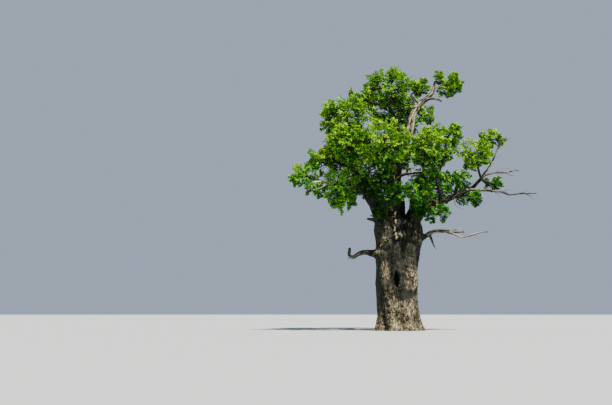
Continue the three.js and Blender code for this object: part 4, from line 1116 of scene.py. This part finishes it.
# Tone of a spray: lighter on top of its mass and higher in the crown, as painted light and shade, with its
# mass's painted light, clumps and chance
def toneOf(tip, middle, half, paintedLight, rng):
    up = (tip[2] - middle[2]) / half[2]
    height = np.interp(tip[2], *zip(*growth["paintedLightByHeight"]))
    clump = softNoise(tip[None] * growth["clumps"], 55)[0]
    tones = growth["tones"]
    own = tones["middle"] + tones["up"] * up + tones["height"] * height + paintedLight
    return own + growth["clumpTone"] * clump + rng.normal(0, tones["stray"])


# A stem from the limb to the mass's middle, twigs from there, and sprays on the twigs
def growMass(crown, index, mass):
    rng = np.random.default_rng(growth["seed"] + 7919 * index)
    middle = place(mass["at"])[0]
    half = np.array(mass["half"])
    if mass["root"]:
        start, foot = place(mass["root"])[0], growth["stemEnd"] * 1.2
    else:
        line, _, radii = paths[mass["on"]]
        start, foot = line[-1], radii[-1] * growth["stemStart"]
    stem = crooked(start, middle, 6, growth["bows"]["stem"], rng)
    crown.twig(stem, foot, growth["stemEnd"])
    paintedLight = rng.normal(0, 0.25) + mass["paintedLight"]
    for end, sprays, spacing, outlineMiddle, outlineHalf in twigsOf(mass, middle, half, rng):
        twig = crooked(middle, end, 5, growth["bows"]["twig"], rng)
        crown.twig(twig, *growth["twigRadii"])
        outward = unit(end - middle)
        other = unit(np.cross(outward, (0.3, 0.2, 1)))
        across = np.cross(other, outward)
        face = outward * 0.7 + np.array([0.1, -0.1, 0.8])
        for k in range(sprays):
            turn = golden * k + rng.random() * growth["scatter"]["sprayTurn"]
            fan = growth["fanAngle"] + growth["scatter"]["fan"] * rng.uniform(-0.5, 0.5)
            away = growth["endAngle"] if k == 0 else fan
            share = 1 - growth["firstSpray"] - k * spacing
            root = alongLine(twig, np.linspace(0, 1, len(twig)), share)
            along = unit(outward * math.cos(away) + across * math.sin(away) * math.cos(turn)
                         + other * math.sin(away) * math.sin(turn))
            reach = distanceOut(outlineMiddle, outlineHalf, root, along) * rng.uniform(*growth["overReach"])
            reach = min(growth["longestSpray"], max(growth["shortestSpray"], reach))
            tone = toneOf(root + along * reach, middle, half, paintedLight, rng)
            growSpray(crown, root, along, face, reach, tone, rng)


# Leafy shoots straight from the bark, at the fork, on the leader and on some boughs: root, tips of the
# sprays, and their tone, low at the fork as painted shade and high up the leader as painted light
barkShoots = [
    ((-0.85, -0.45, 5.85), [(-1.18, -0.85, 5.95), (-0.9, -1, 5.72), (-1.3, -0.65, 6.3), (-0.72, -1, 6.12),
                            (-1.1, -0.95, 5.58), (-0.78, -1, 5.5)], 1.2),
    ((-0.2, -0.5, 6.15), [(0.02, -0.95, 6.4), (-0.42, -1, 6.45), (0.08, -0.85, 6.7),
                          (-0.6, -0.95, 6.2)], 1.4),
    ((-0.18, -0.4, 6.9), [(0.32, -0.7, 7.1), (0.52, -0.75, 7.2), (-0.5, -0.85, 7.15),
                          (0.12, -0.85, 7.15)], 2.8),
    ((-0.2, -0.38, 7.35), [(-0.62, -0.8, 7.6), (0.2, -0.7, 7.35), (-0.45, -0.85, 7.95),
                           (-0.3, -0.75, 7.5)], 1.8),
    ((0.05, -0.26, 8.55), [(0.12, -0.75, 8.75), (-0.3, -0.7, 8.6), (0.45, -0.65, 8.6),
                           (0.1, -0.75, 8.35)], 3.8),
    ((0.3, -0.22, 9.1), [(0.3, -0.7, 9.2), (0.62, -0.6, 9.15), (0.05, -0.65, 9.2)], 4),
    ((-0.38, -0.36, 7.2), [(-0.95, -0.7, 7.3), (-0.8, -0.8, 7.65), (-1.05, -0.6, 7.5), (-0.75, -0.7, 7),
                            (-0.92, -0.65, 6.95), (-0.65, -0.8, 6.85)], 1.4),
    ((-1.6, -0.35, 6.95), [(-1.2, -0.8, 7.2), (-1.5, -0.85, 7.3), (-1, -0.7, 7.05)], 1.2),
    ((0.84, -0.4, 5.95), [(0.78, -0.95, 6.1), (1.1, -0.95, 5.9), (1.2, -0.85, 5.6), (0.9, -0.95, 5.6)], 1.8),
    ((0.9, -0.35, 6.3), [(1.3, -0.85, 6.3), (0.66, -0.85, 6.42), (0.98, -1, 6.5)], 2.6),
    ((0.86, -0.4, 6.4), [(0.42, -0.85, 6.78), (0.52, -0.8, 6.98), (0.3, -0.85, 6.88)], 3.4),
    ((-2.42, -0.2, 9.65), [(-1.75, -0.55, 10.3), (-1.9, -0.75, 10.45)], 3.8),
    ((-0.3, 0.2, 10.7), [(-1.2, -0.2, 10.55), (-1.1, -0.35, 10.3)], 3.4),
    ((0.6, 0.12, 10.3), [(0.1, 0.8, 10.5), (0.35, 0.9, 10.85), (0.1, 0.75, 11.15)], 3),
    ((2.9, -0.12, 6.66), [(3.15, -0.45, 6.4), (3.3, -0.4, 6.22), (3.4, -0.3, 6.6)], 2.6),
    ((-1.1, -0.4, 6.4), [(-1.5, -0.8, 6.75), (-0.95, -0.95, 6.6), (-1.2, -0.9, 6.9)], 1.2),
]


# Sprays on the bark, seeded apart from those of the masses
def growFromBark(crown):
    rng = np.random.default_rng(growth["seed"] + 2)
    face = np.array([0, -0.4, 0.8])
    for root, tips, tone in barkShoots:
        start = place(root)[0]
        for tip in place(tips):
            reach = math.sqrt((tip - start) @ (tip - start))
            growSpray(crown, start, unit(tip - start), face, reach, tone + rng.normal(0, 0.4), rng)


crown = Growth()
for index, mass in enumerate(masses.values()):
    growMass(crown, index, mass)
growFromBark(crown)
print("crown grown:", len(crown.lines), "twigs,", sum(len(batch[0]) for batch in crown.batches), "leaves")


# True where nothing grows: on open sky, in front of a limb that shows, or inside a limb
def keptFree(points, rng):
    x, z = seenAt(points)
    low, high = (np.array(corner) for corner in cadBox)
    free = ((points < low - growth["margin"]) | (points > high + growth["margin"])).any(1)
    ragged = 1 + 0.5 * softNoise(points * 5, 77) + 0.35 * softNoise(points * 13, 78)
    ragged += rng.normal(0, 0.1, len(points))
    throughout = [(*gap, math.inf) for gap in skyGaps]
    for acrossAt, upAt, halfX, halfZ, depth in throughout + openings:
        inside = ((x - acrossAt) / halfX) ** 2 + ((z - upAt) / halfZ) ** 2 < ragged
        free |= inside & (points[:, 1] < depth)
    for line, along, radii in paths.values():
        far, _ = placeInLimb(points, line, along, radii, growth["nearLimb"])
        free |= far < growth["clearance"]
    return free


# A screen colour of 0 to 255 as the light that a material takes
def linear(*colour):
    shares = (part / 255 for part in colour)
    return tuple(((s + 0.055) / 1.055) ** 2.4 if s > 0.04 else s / 12.92 for s in shares) + (1,)


# A node in a tree, with its settings, and each input given as a value or as a socket to link
def addNode(tree, kind, settings, inputs):
    made = tree.nodes.new(kind)
    for key, value in settings.items():
        setattr(made, key, value)
    for key, value in inputs.items():
        if isinstance(value, bpy.types.NodeSocket):
            tree.links.new(value, made.inputs[key])
        else:
            made.inputs[key].default_value = value
    return made


# A shader socket that takes part in sums as a number does
class Level:
    def __init__(self, finish, socket):
        self.finish = finish
        self.socket = socket

    def maths(self, operation, *others):
        return self.finish.node("ShaderNodeMath", {"operation": operation}, dict(enumerate(others)))

    def __add__(self, other):
        return self.maths("ADD", self, other)

    def __mul__(self, other):
        return self.maths("MULTIPLY", self, other)

    __radd__ = __add__
    __rmul__ = __mul__

    def __sub__(self, other):
        return self.maths("SUBTRACT", self, other)

    def __rsub__(self, other):
        return self.maths("SUBTRACT", other, self)

    def between(self, low, high):
        inputs = {0: self, 1: low, 2: high, 3: 0.0, 4: 1.0}
        return self.finish.node("ShaderNodeMapRange", {"interpolation_type": "SMOOTHSTEP"}, inputs)


# A material in the making: most of its steps add a node and give what comes out as a Level
class Finish:
    def __init__(self, name):
        self.material = bpy.data.materials.new(name)
        self.material.use_nodes = True
        self.tree = self.material.node_tree
        self.tree.nodes.clear()

    def node(self, kind, settings, inputs, output=0):
        plain = {key: value.socket if isinstance(value, Level) else value for key, value in inputs.items()}
        return Level(self, addNode(self.tree, kind, settings, plain).outputs[output])

    # The stops are places and screen colours, from low to high
    def ramp(self, factor, stops):
        made = self.node("ShaderNodeValToRGB", {}, {0: factor})
        elements = made.socket.node.color_ramp.elements
        elements.remove(elements[1])
        for position, colour in stops[1:]:
            elements.new(position).color = linear(*colour)
        elements[0].position = stops[0][0]
        elements[0].color = linear(*stops[0][1])
        return made

    def blend(self, factor, first, second):
        inputs = {0: factor, 6: first, 7: second}
        return self.node("ShaderNodeMix", {"data_type": "RGBA"}, inputs, 2)

    def value(self, name):
        return self.node("ShaderNodeAttribute", {"attribute_name": name}, {}, "Fac")

    # Place in the limb, across twice and along, where the last is drawn out
    def grain(self, stretch):
        where = self.node("ShaderNodeAttribute", {"attribute_name": "grain"}, {}, "Vector")
        return self.node("ShaderNodeVectorMath", {"operation": "MULTIPLY"}, {0: where, 1: (1, 1, stretch)})

    def noise(self, where, scale, detail=4.0, rough=0.55):
        inputs = {"Vector": where, "Scale": scale, "Detail": detail, "Roughness": rough}
        return self.node("ShaderNodeTexNoise", {}, inputs, "Fac")

    def position(self):
        return self.node("ShaderNodeTexCoord", {}, {}, "Object")

    def bump(self, height, strength, distance):
        inputs = {"Strength": strength, "Distance": distance, "Height": height}
        return self.node("ShaderNodeBump", {}, inputs)

    def shade(self, inputs):
        shader = self.node("ShaderNodeBsdfPrincipled", {}, inputs)
        output = self.tree.nodes.new("ShaderNodeOutputMaterial")
        self.tree.links.new(shader.socket, output.inputs["Surface"])
        return self.material


barkColours = {
    "dark": [(0.02, (6, 7, 3)), (0.32, (24, 25, 16)), (0.62, (40, 41, 29)), (0.9, (72, 71, 53))],
    "pale": [(0.02, (16, 14, 8)), (0.32, (58, 52, 37)), (0.62, (104, 94, 71)), (0.9, (162, 149, 120))],
    "wood": [(0.14, (22, 19, 13)), (0.32, (74, 66, 50)), (0.55, (124, 114, 90)), (0.82, (178, 165, 138))],
    # painted shade: shadow is the bark in the crown's shade, hollow the near black inside the hollow
    "green": (40, 48, 20), "grey": (100, 98, 80), "shadow": (6, 7, 3), "hollow": (4, 4, 2),
}


def barkFinish():
    finish = Finish("oakBark")
    position = finish.position()
    fine = finish.noise(finish.grain(0.22), 42.0, 6.0, 0.62)
    mottle = finish.noise(finish.grain(0.5), 15.0, 3.0, 0.65)
    grit = finish.noise(position, 70.0, 3.0, 0.6)
    broad = finish.noise(position, 0.9, 3.0)
    patch = finish.noise(position, 4.5, 5.0, 0.6)
    relief = finish.value("relief")
    # the bark is darker in its furrows, partly its own colour and partly painted shade
    height = relief * 0.44 + mottle.between(0.36, 0.66) * 0.56 + fine * 0.3 - 0.22
    dark, pale = (finish.ramp(height, barkColours[name]) for name in ("dark", "pale"))
    flat = (linear(*barkColours[name]) for name in ("green", "grey", "shadow", "hollow"))
    green, grey, shadow, hollow = flat
    tone = finish.value("tone")
    # the tone blends dark and pale bark: pale wood and streaks, painted sunlight low on the trunk and painted
    # shade above
    colour = finish.blend((tone + (patch - 0.5) * 0.6).between(0, 1), dark, pale)
    colour = finish.blend(broad.between(0.5, 0.72) * 0.2, colour, green)
    colour = finish.blend(patch.between(0.6, 0.76) * height.between(0.3, 0.8) * 0.15, colour, grey)
    # painted shade: below 0 the tone draws the bark towards the shadow colour, on boughs and the fork in the
    # crown's shade
    colour = finish.blend((tone * -1.0).between(0, 1.2) * 0.8, colour, shadow)
    bands = finish.noise(finish.grain(0.12), 11.0, 3.0, 0.55)
    streak = fine * 1.1 + relief * 0.4 + mottle * 0.5 - bands.between(0.46, 0.6) * 0.8 - 0.34
    wood = finish.ramp(streak, barkColours["wood"])
    colour = finish.blend((finish.value("scar") + (patch - 0.5) * 0.8).between(0.35, 0.62), colour, wood)
    # painted shade: the inside of the hollow is near black
    colour = finish.blend(finish.value("dark").between(0.1, 0.75), colour, hollow)
    bump = finish.bump(fine * 0.5 + grit * 0.2 + mottle * 0.6, 0.6, 0.02)
    return finish.shade({
        "Base Color": colour, "Roughness": 0.9 - fine * 0.12, "Normal": bump, "Specular IOR Level": 0.2})


deadColours = [(0.12, (20, 18, 13)), (0.38, (62, 58, 46)), (0.66, (114, 107, 88)), (0.92, (176, 165, 142))]


def deadFinish():
    finish = Finish("deadWood")
    streak = finish.noise(finish.grain(0.08), 60.0, 5.0, 0.6)
    bands = finish.noise(finish.grain(0.1), 16.0, 3.0, 0.55)
    patch = finish.noise(finish.position(), 2.2, 4.0, 0.6)
    grainTone = streak * 0.75 - bands.between(0.46, 0.6) * 0.6
    tone = grainTone + patch * 0.5 + finish.value("relief") * 0.3 - 0.13 + finish.value("pale")
    bump = finish.bump(streak, 0.6, 0.006)
    return finish.shade({
        "Base Color": finish.ramp(tone, deadColours), "Roughness": 0.85 - streak * 0.15, "Normal": bump,
        "Specular IOR Level": 0.3})


def twigFinish():
    finish = Finish("twigBark")
    tone = finish.noise(finish.position(), 9.0, 4.0)
    colour = finish.ramp(tone, [(0.3, (30, 29, 18)), (0.75, (64, 60, 42))])
    return finish.shade({"Base Color": colour, "Roughness": 0.8 + tone * 0.1, "Specular IOR Level": 0.25})


# Greens of the leaves, each from dark to light: lit greens dealt out by tone, which holds painted light and
# shade, and shade greens, painted shade for shoots low in the crown
litGreens = [
    (7, 35, 5), (18, 60, 7), (39, 89, 10), (62, 116, 12), (86, 139, 13), (108, 158, 13), (127, 171, 12),
    (143, 182, 12),
]
shadeGreens = [(17, 60, 8), (52, 112, 13), (92, 154, 18)]


def leafFinish(number, colour):
    finish = Finish(f"leafGreen{number}")
    return finish.shade({"Base Color": linear(*colour), "Roughness": 0.62, "Specular IOR Level": 0.1})


# Geometry Nodes: leaves on points, and round twigs along lines. Each tree has its own named inputs
def nodeTree(name, inputs):
    tree = bpy.data.node_groups.new(name, "GeometryNodeTree")
    tree.interface.new_socket("Geometry", in_out="INPUT", socket_type="NodeSocketGeometry")
    tree.interface.new_socket("Geometry", in_out="OUTPUT", socket_type="NodeSocketGeometry")
    sockets = {}
    for label, kind in inputs:
        sockets[label] = tree.interface.new_socket(label, in_out="INPUT", socket_type=kind)
    return tree, sockets


def attributeOf(tree, name, kind):
    return addNode(tree, "GeometryNodeInputNamedAttribute", {"data_type": kind}, {"Name": name}).outputs[0]


# The last nodes of both: plain mesh, with its material, to the output
def finishTree(tree, geometry, material):
    real = addNode(tree, "GeometryNodeRealizeInstances", {}, {0: geometry})
    inputs = {"Geometry": real.outputs[0], "Material": material}
    finished = addNode(tree, "GeometryNodeSetMaterial", {}, inputs)
    addNode(tree, "NodeGroupOutput", {}, {0: finished.outputs[0]})


def leafTree():
    inputs = [("Leaf", "NodeSocketObject"), ("Green", "NodeSocketMaterial")]
    tree, sockets = nodeTree("leavesOnShoots", inputs)
    given = tree.nodes.new("NodeGroupInput").outputs
    leaf = addNode(tree, "GeometryNodeObjectInfo", {}, {"Object": given["Leaf"]}).outputs["Geometry"]
    angles = attributeOf(tree, "leafTurn", "FLOAT_VECTOR")
    turn = addNode(tree, "FunctionNodeEulerToRotation", {}, {0: angles})
    size = attributeOf(tree, "leafSize", "FLOAT")
    placed = addNode(tree, "GeometryNodeInstanceOnPoints", {}, {
        "Points": given["Geometry"], "Instance": leaf, "Rotation": turn.outputs[0], "Scale": size})
    finishTree(tree, placed.outputs[0], given["Green"])
    return tree, sockets


def twigTree():
    tree, sockets = nodeTree("twigsOnLines", [("Sides", "NodeSocketInt"), ("Bark", "NodeSocketMaterial")])
    given = tree.nodes.new("NodeGroupInput").outputs
    line = addNode(tree, "GeometryNodeMeshToCurve", {}, {0: given["Geometry"]})
    circle = addNode(tree, "GeometryNodeCurvePrimitiveCircle", {}, {
        "Resolution": given["Sides"], "Radius": 1.0})
    skinned = addNode(tree, "GeometryNodeCurveToMesh", {}, {
        "Curve": line.outputs[0], "Profile Curve": circle.outputs[0], "Fill Caps": True,
        "Scale": attributeOf(tree, "twigRadius", "FLOAT")})
    finishTree(tree, skinned.outputs[0], given["Bark"])
    return tree, sockets


# A tree runs on a piece with its inputs set, and leaves a plain mesh
def runTree(thing, tree, sockets, values):
    modifier = thing.modifiers.new(tree.name, "NODES")
    modifier.node_group = tree
    for label, value in values.items():
        modifier[sockets[label].identifier] = value
    return settle(thing)


# One leaf, a unit long: lobed halves that rise from the midrib, and a tip that hangs
leafForm = {
    "outline": [(0, 0), (0.3, 0.22), (0.46, 0.12), (0.72, 0.33), (1, 0)],
    "corners": [(0, 2, 1), (2, 4, 3), (0, 4, 2)],
    "rise": 0.32, "droop": 0.14,
}


def leafShape():
    outline, corners = leafForm["outline"], leafForm["corners"]
    rise, droop = leafForm["rise"], leafForm["droop"]
    points = [(x, y * hand, rise * y - droop * x * x) for hand in (-1, 1) for x, y in outline]
    mirrored = [tuple(corner + len(outline) for corner in reversed(face)) for face in corners]
    return meshObject("leafShape", np.array(points, float), corners + mirrored)


# Turn of each leaf, as angles, from where it points and where it faces
def leafTurns(aheads, faces):
    side = units(np.cross(faces, aheads))
    up = np.cross(aheads, side)
    return np.stack([
        np.arctan2(side[:, 2], up[:, 2]),
        -np.arcsin(np.clip(aheads[:, 2], -1, 1)),
        np.arctan2(aheads[:, 1], aheads[:, 0])], 1)


leafLimit = 32000  # leaves in a piece
foliageNames = [f"foliage_{name}" for name in masses]


# The leaves, in one piece or more for each green
def makeLeaves():
    rng = np.random.default_rng(growth["seed"])
    places, aheads, faces, sizes, tones, shaded = (np.concatenate(rows) for rows in zip(*crown.batches))
    dropped = keptFree(places + aheads * sizes[:, None] * 0.5, rng)
    turns = leafTurns(aheads, faces)
    # painted light and shade: the tone picks a lit green, and shoots low in the crown take a shade green
    lit = np.clip(np.round(tones), 0, len(litGreens) - 1).astype(int)
    shadeLevels = len(litGreens) + np.clip(np.round((tones - 1.5) / 2), 0, len(shadeGreens) - 1).astype(int)
    levels = np.where(shaded, shadeLevels, lit)
    leaf = leafShape()
    tree, sockets = leafTree()
    for level, colour in enumerate(litGreens + shadeGreens):
        chosen = np.flatnonzero((levels == level) & ~dropped)
        parts = max(1, math.ceil(len(chosen) / leafLimit))
        material = leafFinish(level + 1, colour)
        for part, rows in enumerate(np.array_split(chosen, parts)):
            thing = meshObject(f"leaves_{level + 1}_{part + 1}", places[rows], [])
            writeValues(thing.data, "leafTurn", turns[rows])
            writeValues(thing.data, "leafSize", sizes[rows])
            runTree(thing, tree, sockets, {"Leaf": leaf, "Green": material})
            for spare in ("leafTurn", "leafSize"):
                if spare in thing.data.attributes:
                    thing.data.attributes.remove(thing.data.attributes[spare])
            finishPiece(thing, None, foliageNames)
    bpy.data.objects.remove(leaf)


# The twigs, and apart from them the finer shoots, which are left out where nothing grows
def makeTwigs():
    rng = np.random.default_rng(growth["seed"] + 1)
    tree, sockets = twigTree()
    material = twigFinish()
    ends = np.array([line[-1] for line, _ in crown.lines])
    groups = {"twigs": ([], 5), "shoots": ([], 3)}  # lines, sides
    for (line, radii), dropped in zip(crown.lines, keptFree(ends, rng)):
        fine = radii[0] <= growth["shootRadii"][0]
        if not (fine and dropped):
            groups["shoots" if fine else "twigs"][0].append((line, radii))
    for name, (lines, sides) in groups.items():
        points = np.concatenate([line for line, _ in lines])
        counts = np.array([len(line) for line, _ in lines])
        first = np.concatenate([[0], np.cumsum(counts)[:-1]])
        edges = [(start + k, start + k + 1) for start, count in zip(first.tolist(), counts.tolist())
                 for k in range(count - 1)]
        thing = meshObject(name, points, [], edges)
        writeValues(thing.data, "twigRadius", np.concatenate([radii for _, radii in lines]))
        runTree(thing, tree, sockets, {"Sides": sides, "Bark": material})
        finishPiece(thing, None, foliageNames)


# Everything is made here, in order
barkThing = growBark()
print("bark skin:", len(barkThing.data.polygons), "faces")
carveBark(barkThing)
barkMaterial = barkFinish()
levels = [0, *bark["cuts"], None]
for number, (low, high) in enumerate(zip(levels, levels[1:])):
    piece = sliceOf(barkThing, f"bark_{number + 1}", low, high)
    replaced = ["trunk", *boughs] if low > bark["boughsAbove"] else ["trunk"]
    finishPiece(piece, barkMaterial, replaced)
bpy.data.objects.remove(barkThing)

deadMaterial = deadFinish()
for index, name in enumerate(deadLimbs):
    finishPiece(deadPiece(name, index), deadMaterial, [name])

makeTwigs()
makeLeaves()


# Floor and light
stage = {
    "floor": (144, 149, 148), "floorRadius": 400, "floorSides": 96,
    "sky": (203, 219, 245), "skyStrength": 0.62,
    "sunTowards": (0.3, -0.5, 1.1), "sunStrength": 16, "sunAngle": 1.2, "sunColour": (1, 0.96, 0.88),
}


def makeStage():
    turn = fullTurn(stage["floorSides"])
    rim = np.stack([np.cos(turn), np.sin(turn), 0 * turn], 1) * stage["floorRadius"]
    floor = meshObject("floor", rim, [tuple(range(len(rim)))])
    floorFinish = Finish("floorFinish").shade({"Base Color": linear(*stage["floor"]), "Roughness": 0.9})
    floor.data.materials.append(floorFinish)
    world = bpy.data.worlds.new("paleSky")
    world.use_nodes = True
    background = world.node_tree.nodes["Background"].inputs
    background["Color"].default_value = linear(*stage["sky"])
    background["Strength"].default_value = stage["skyStrength"]
    bpy.context.scene.world = world
    lamp = bpy.data.lights.new("sun", "SUN")
    lamp.energy = stage["sunStrength"]
    lamp.angle = math.radians(stage["sunAngle"])
    lamp.color = stage["sunColour"]
    sun = addObject("sun", lamp)
    sun.rotation_euler = Vector(stage["sunTowards"]).to_track_quat("Z", "Y").to_euler()


makeStage()
bpy.context.view_layer.update()
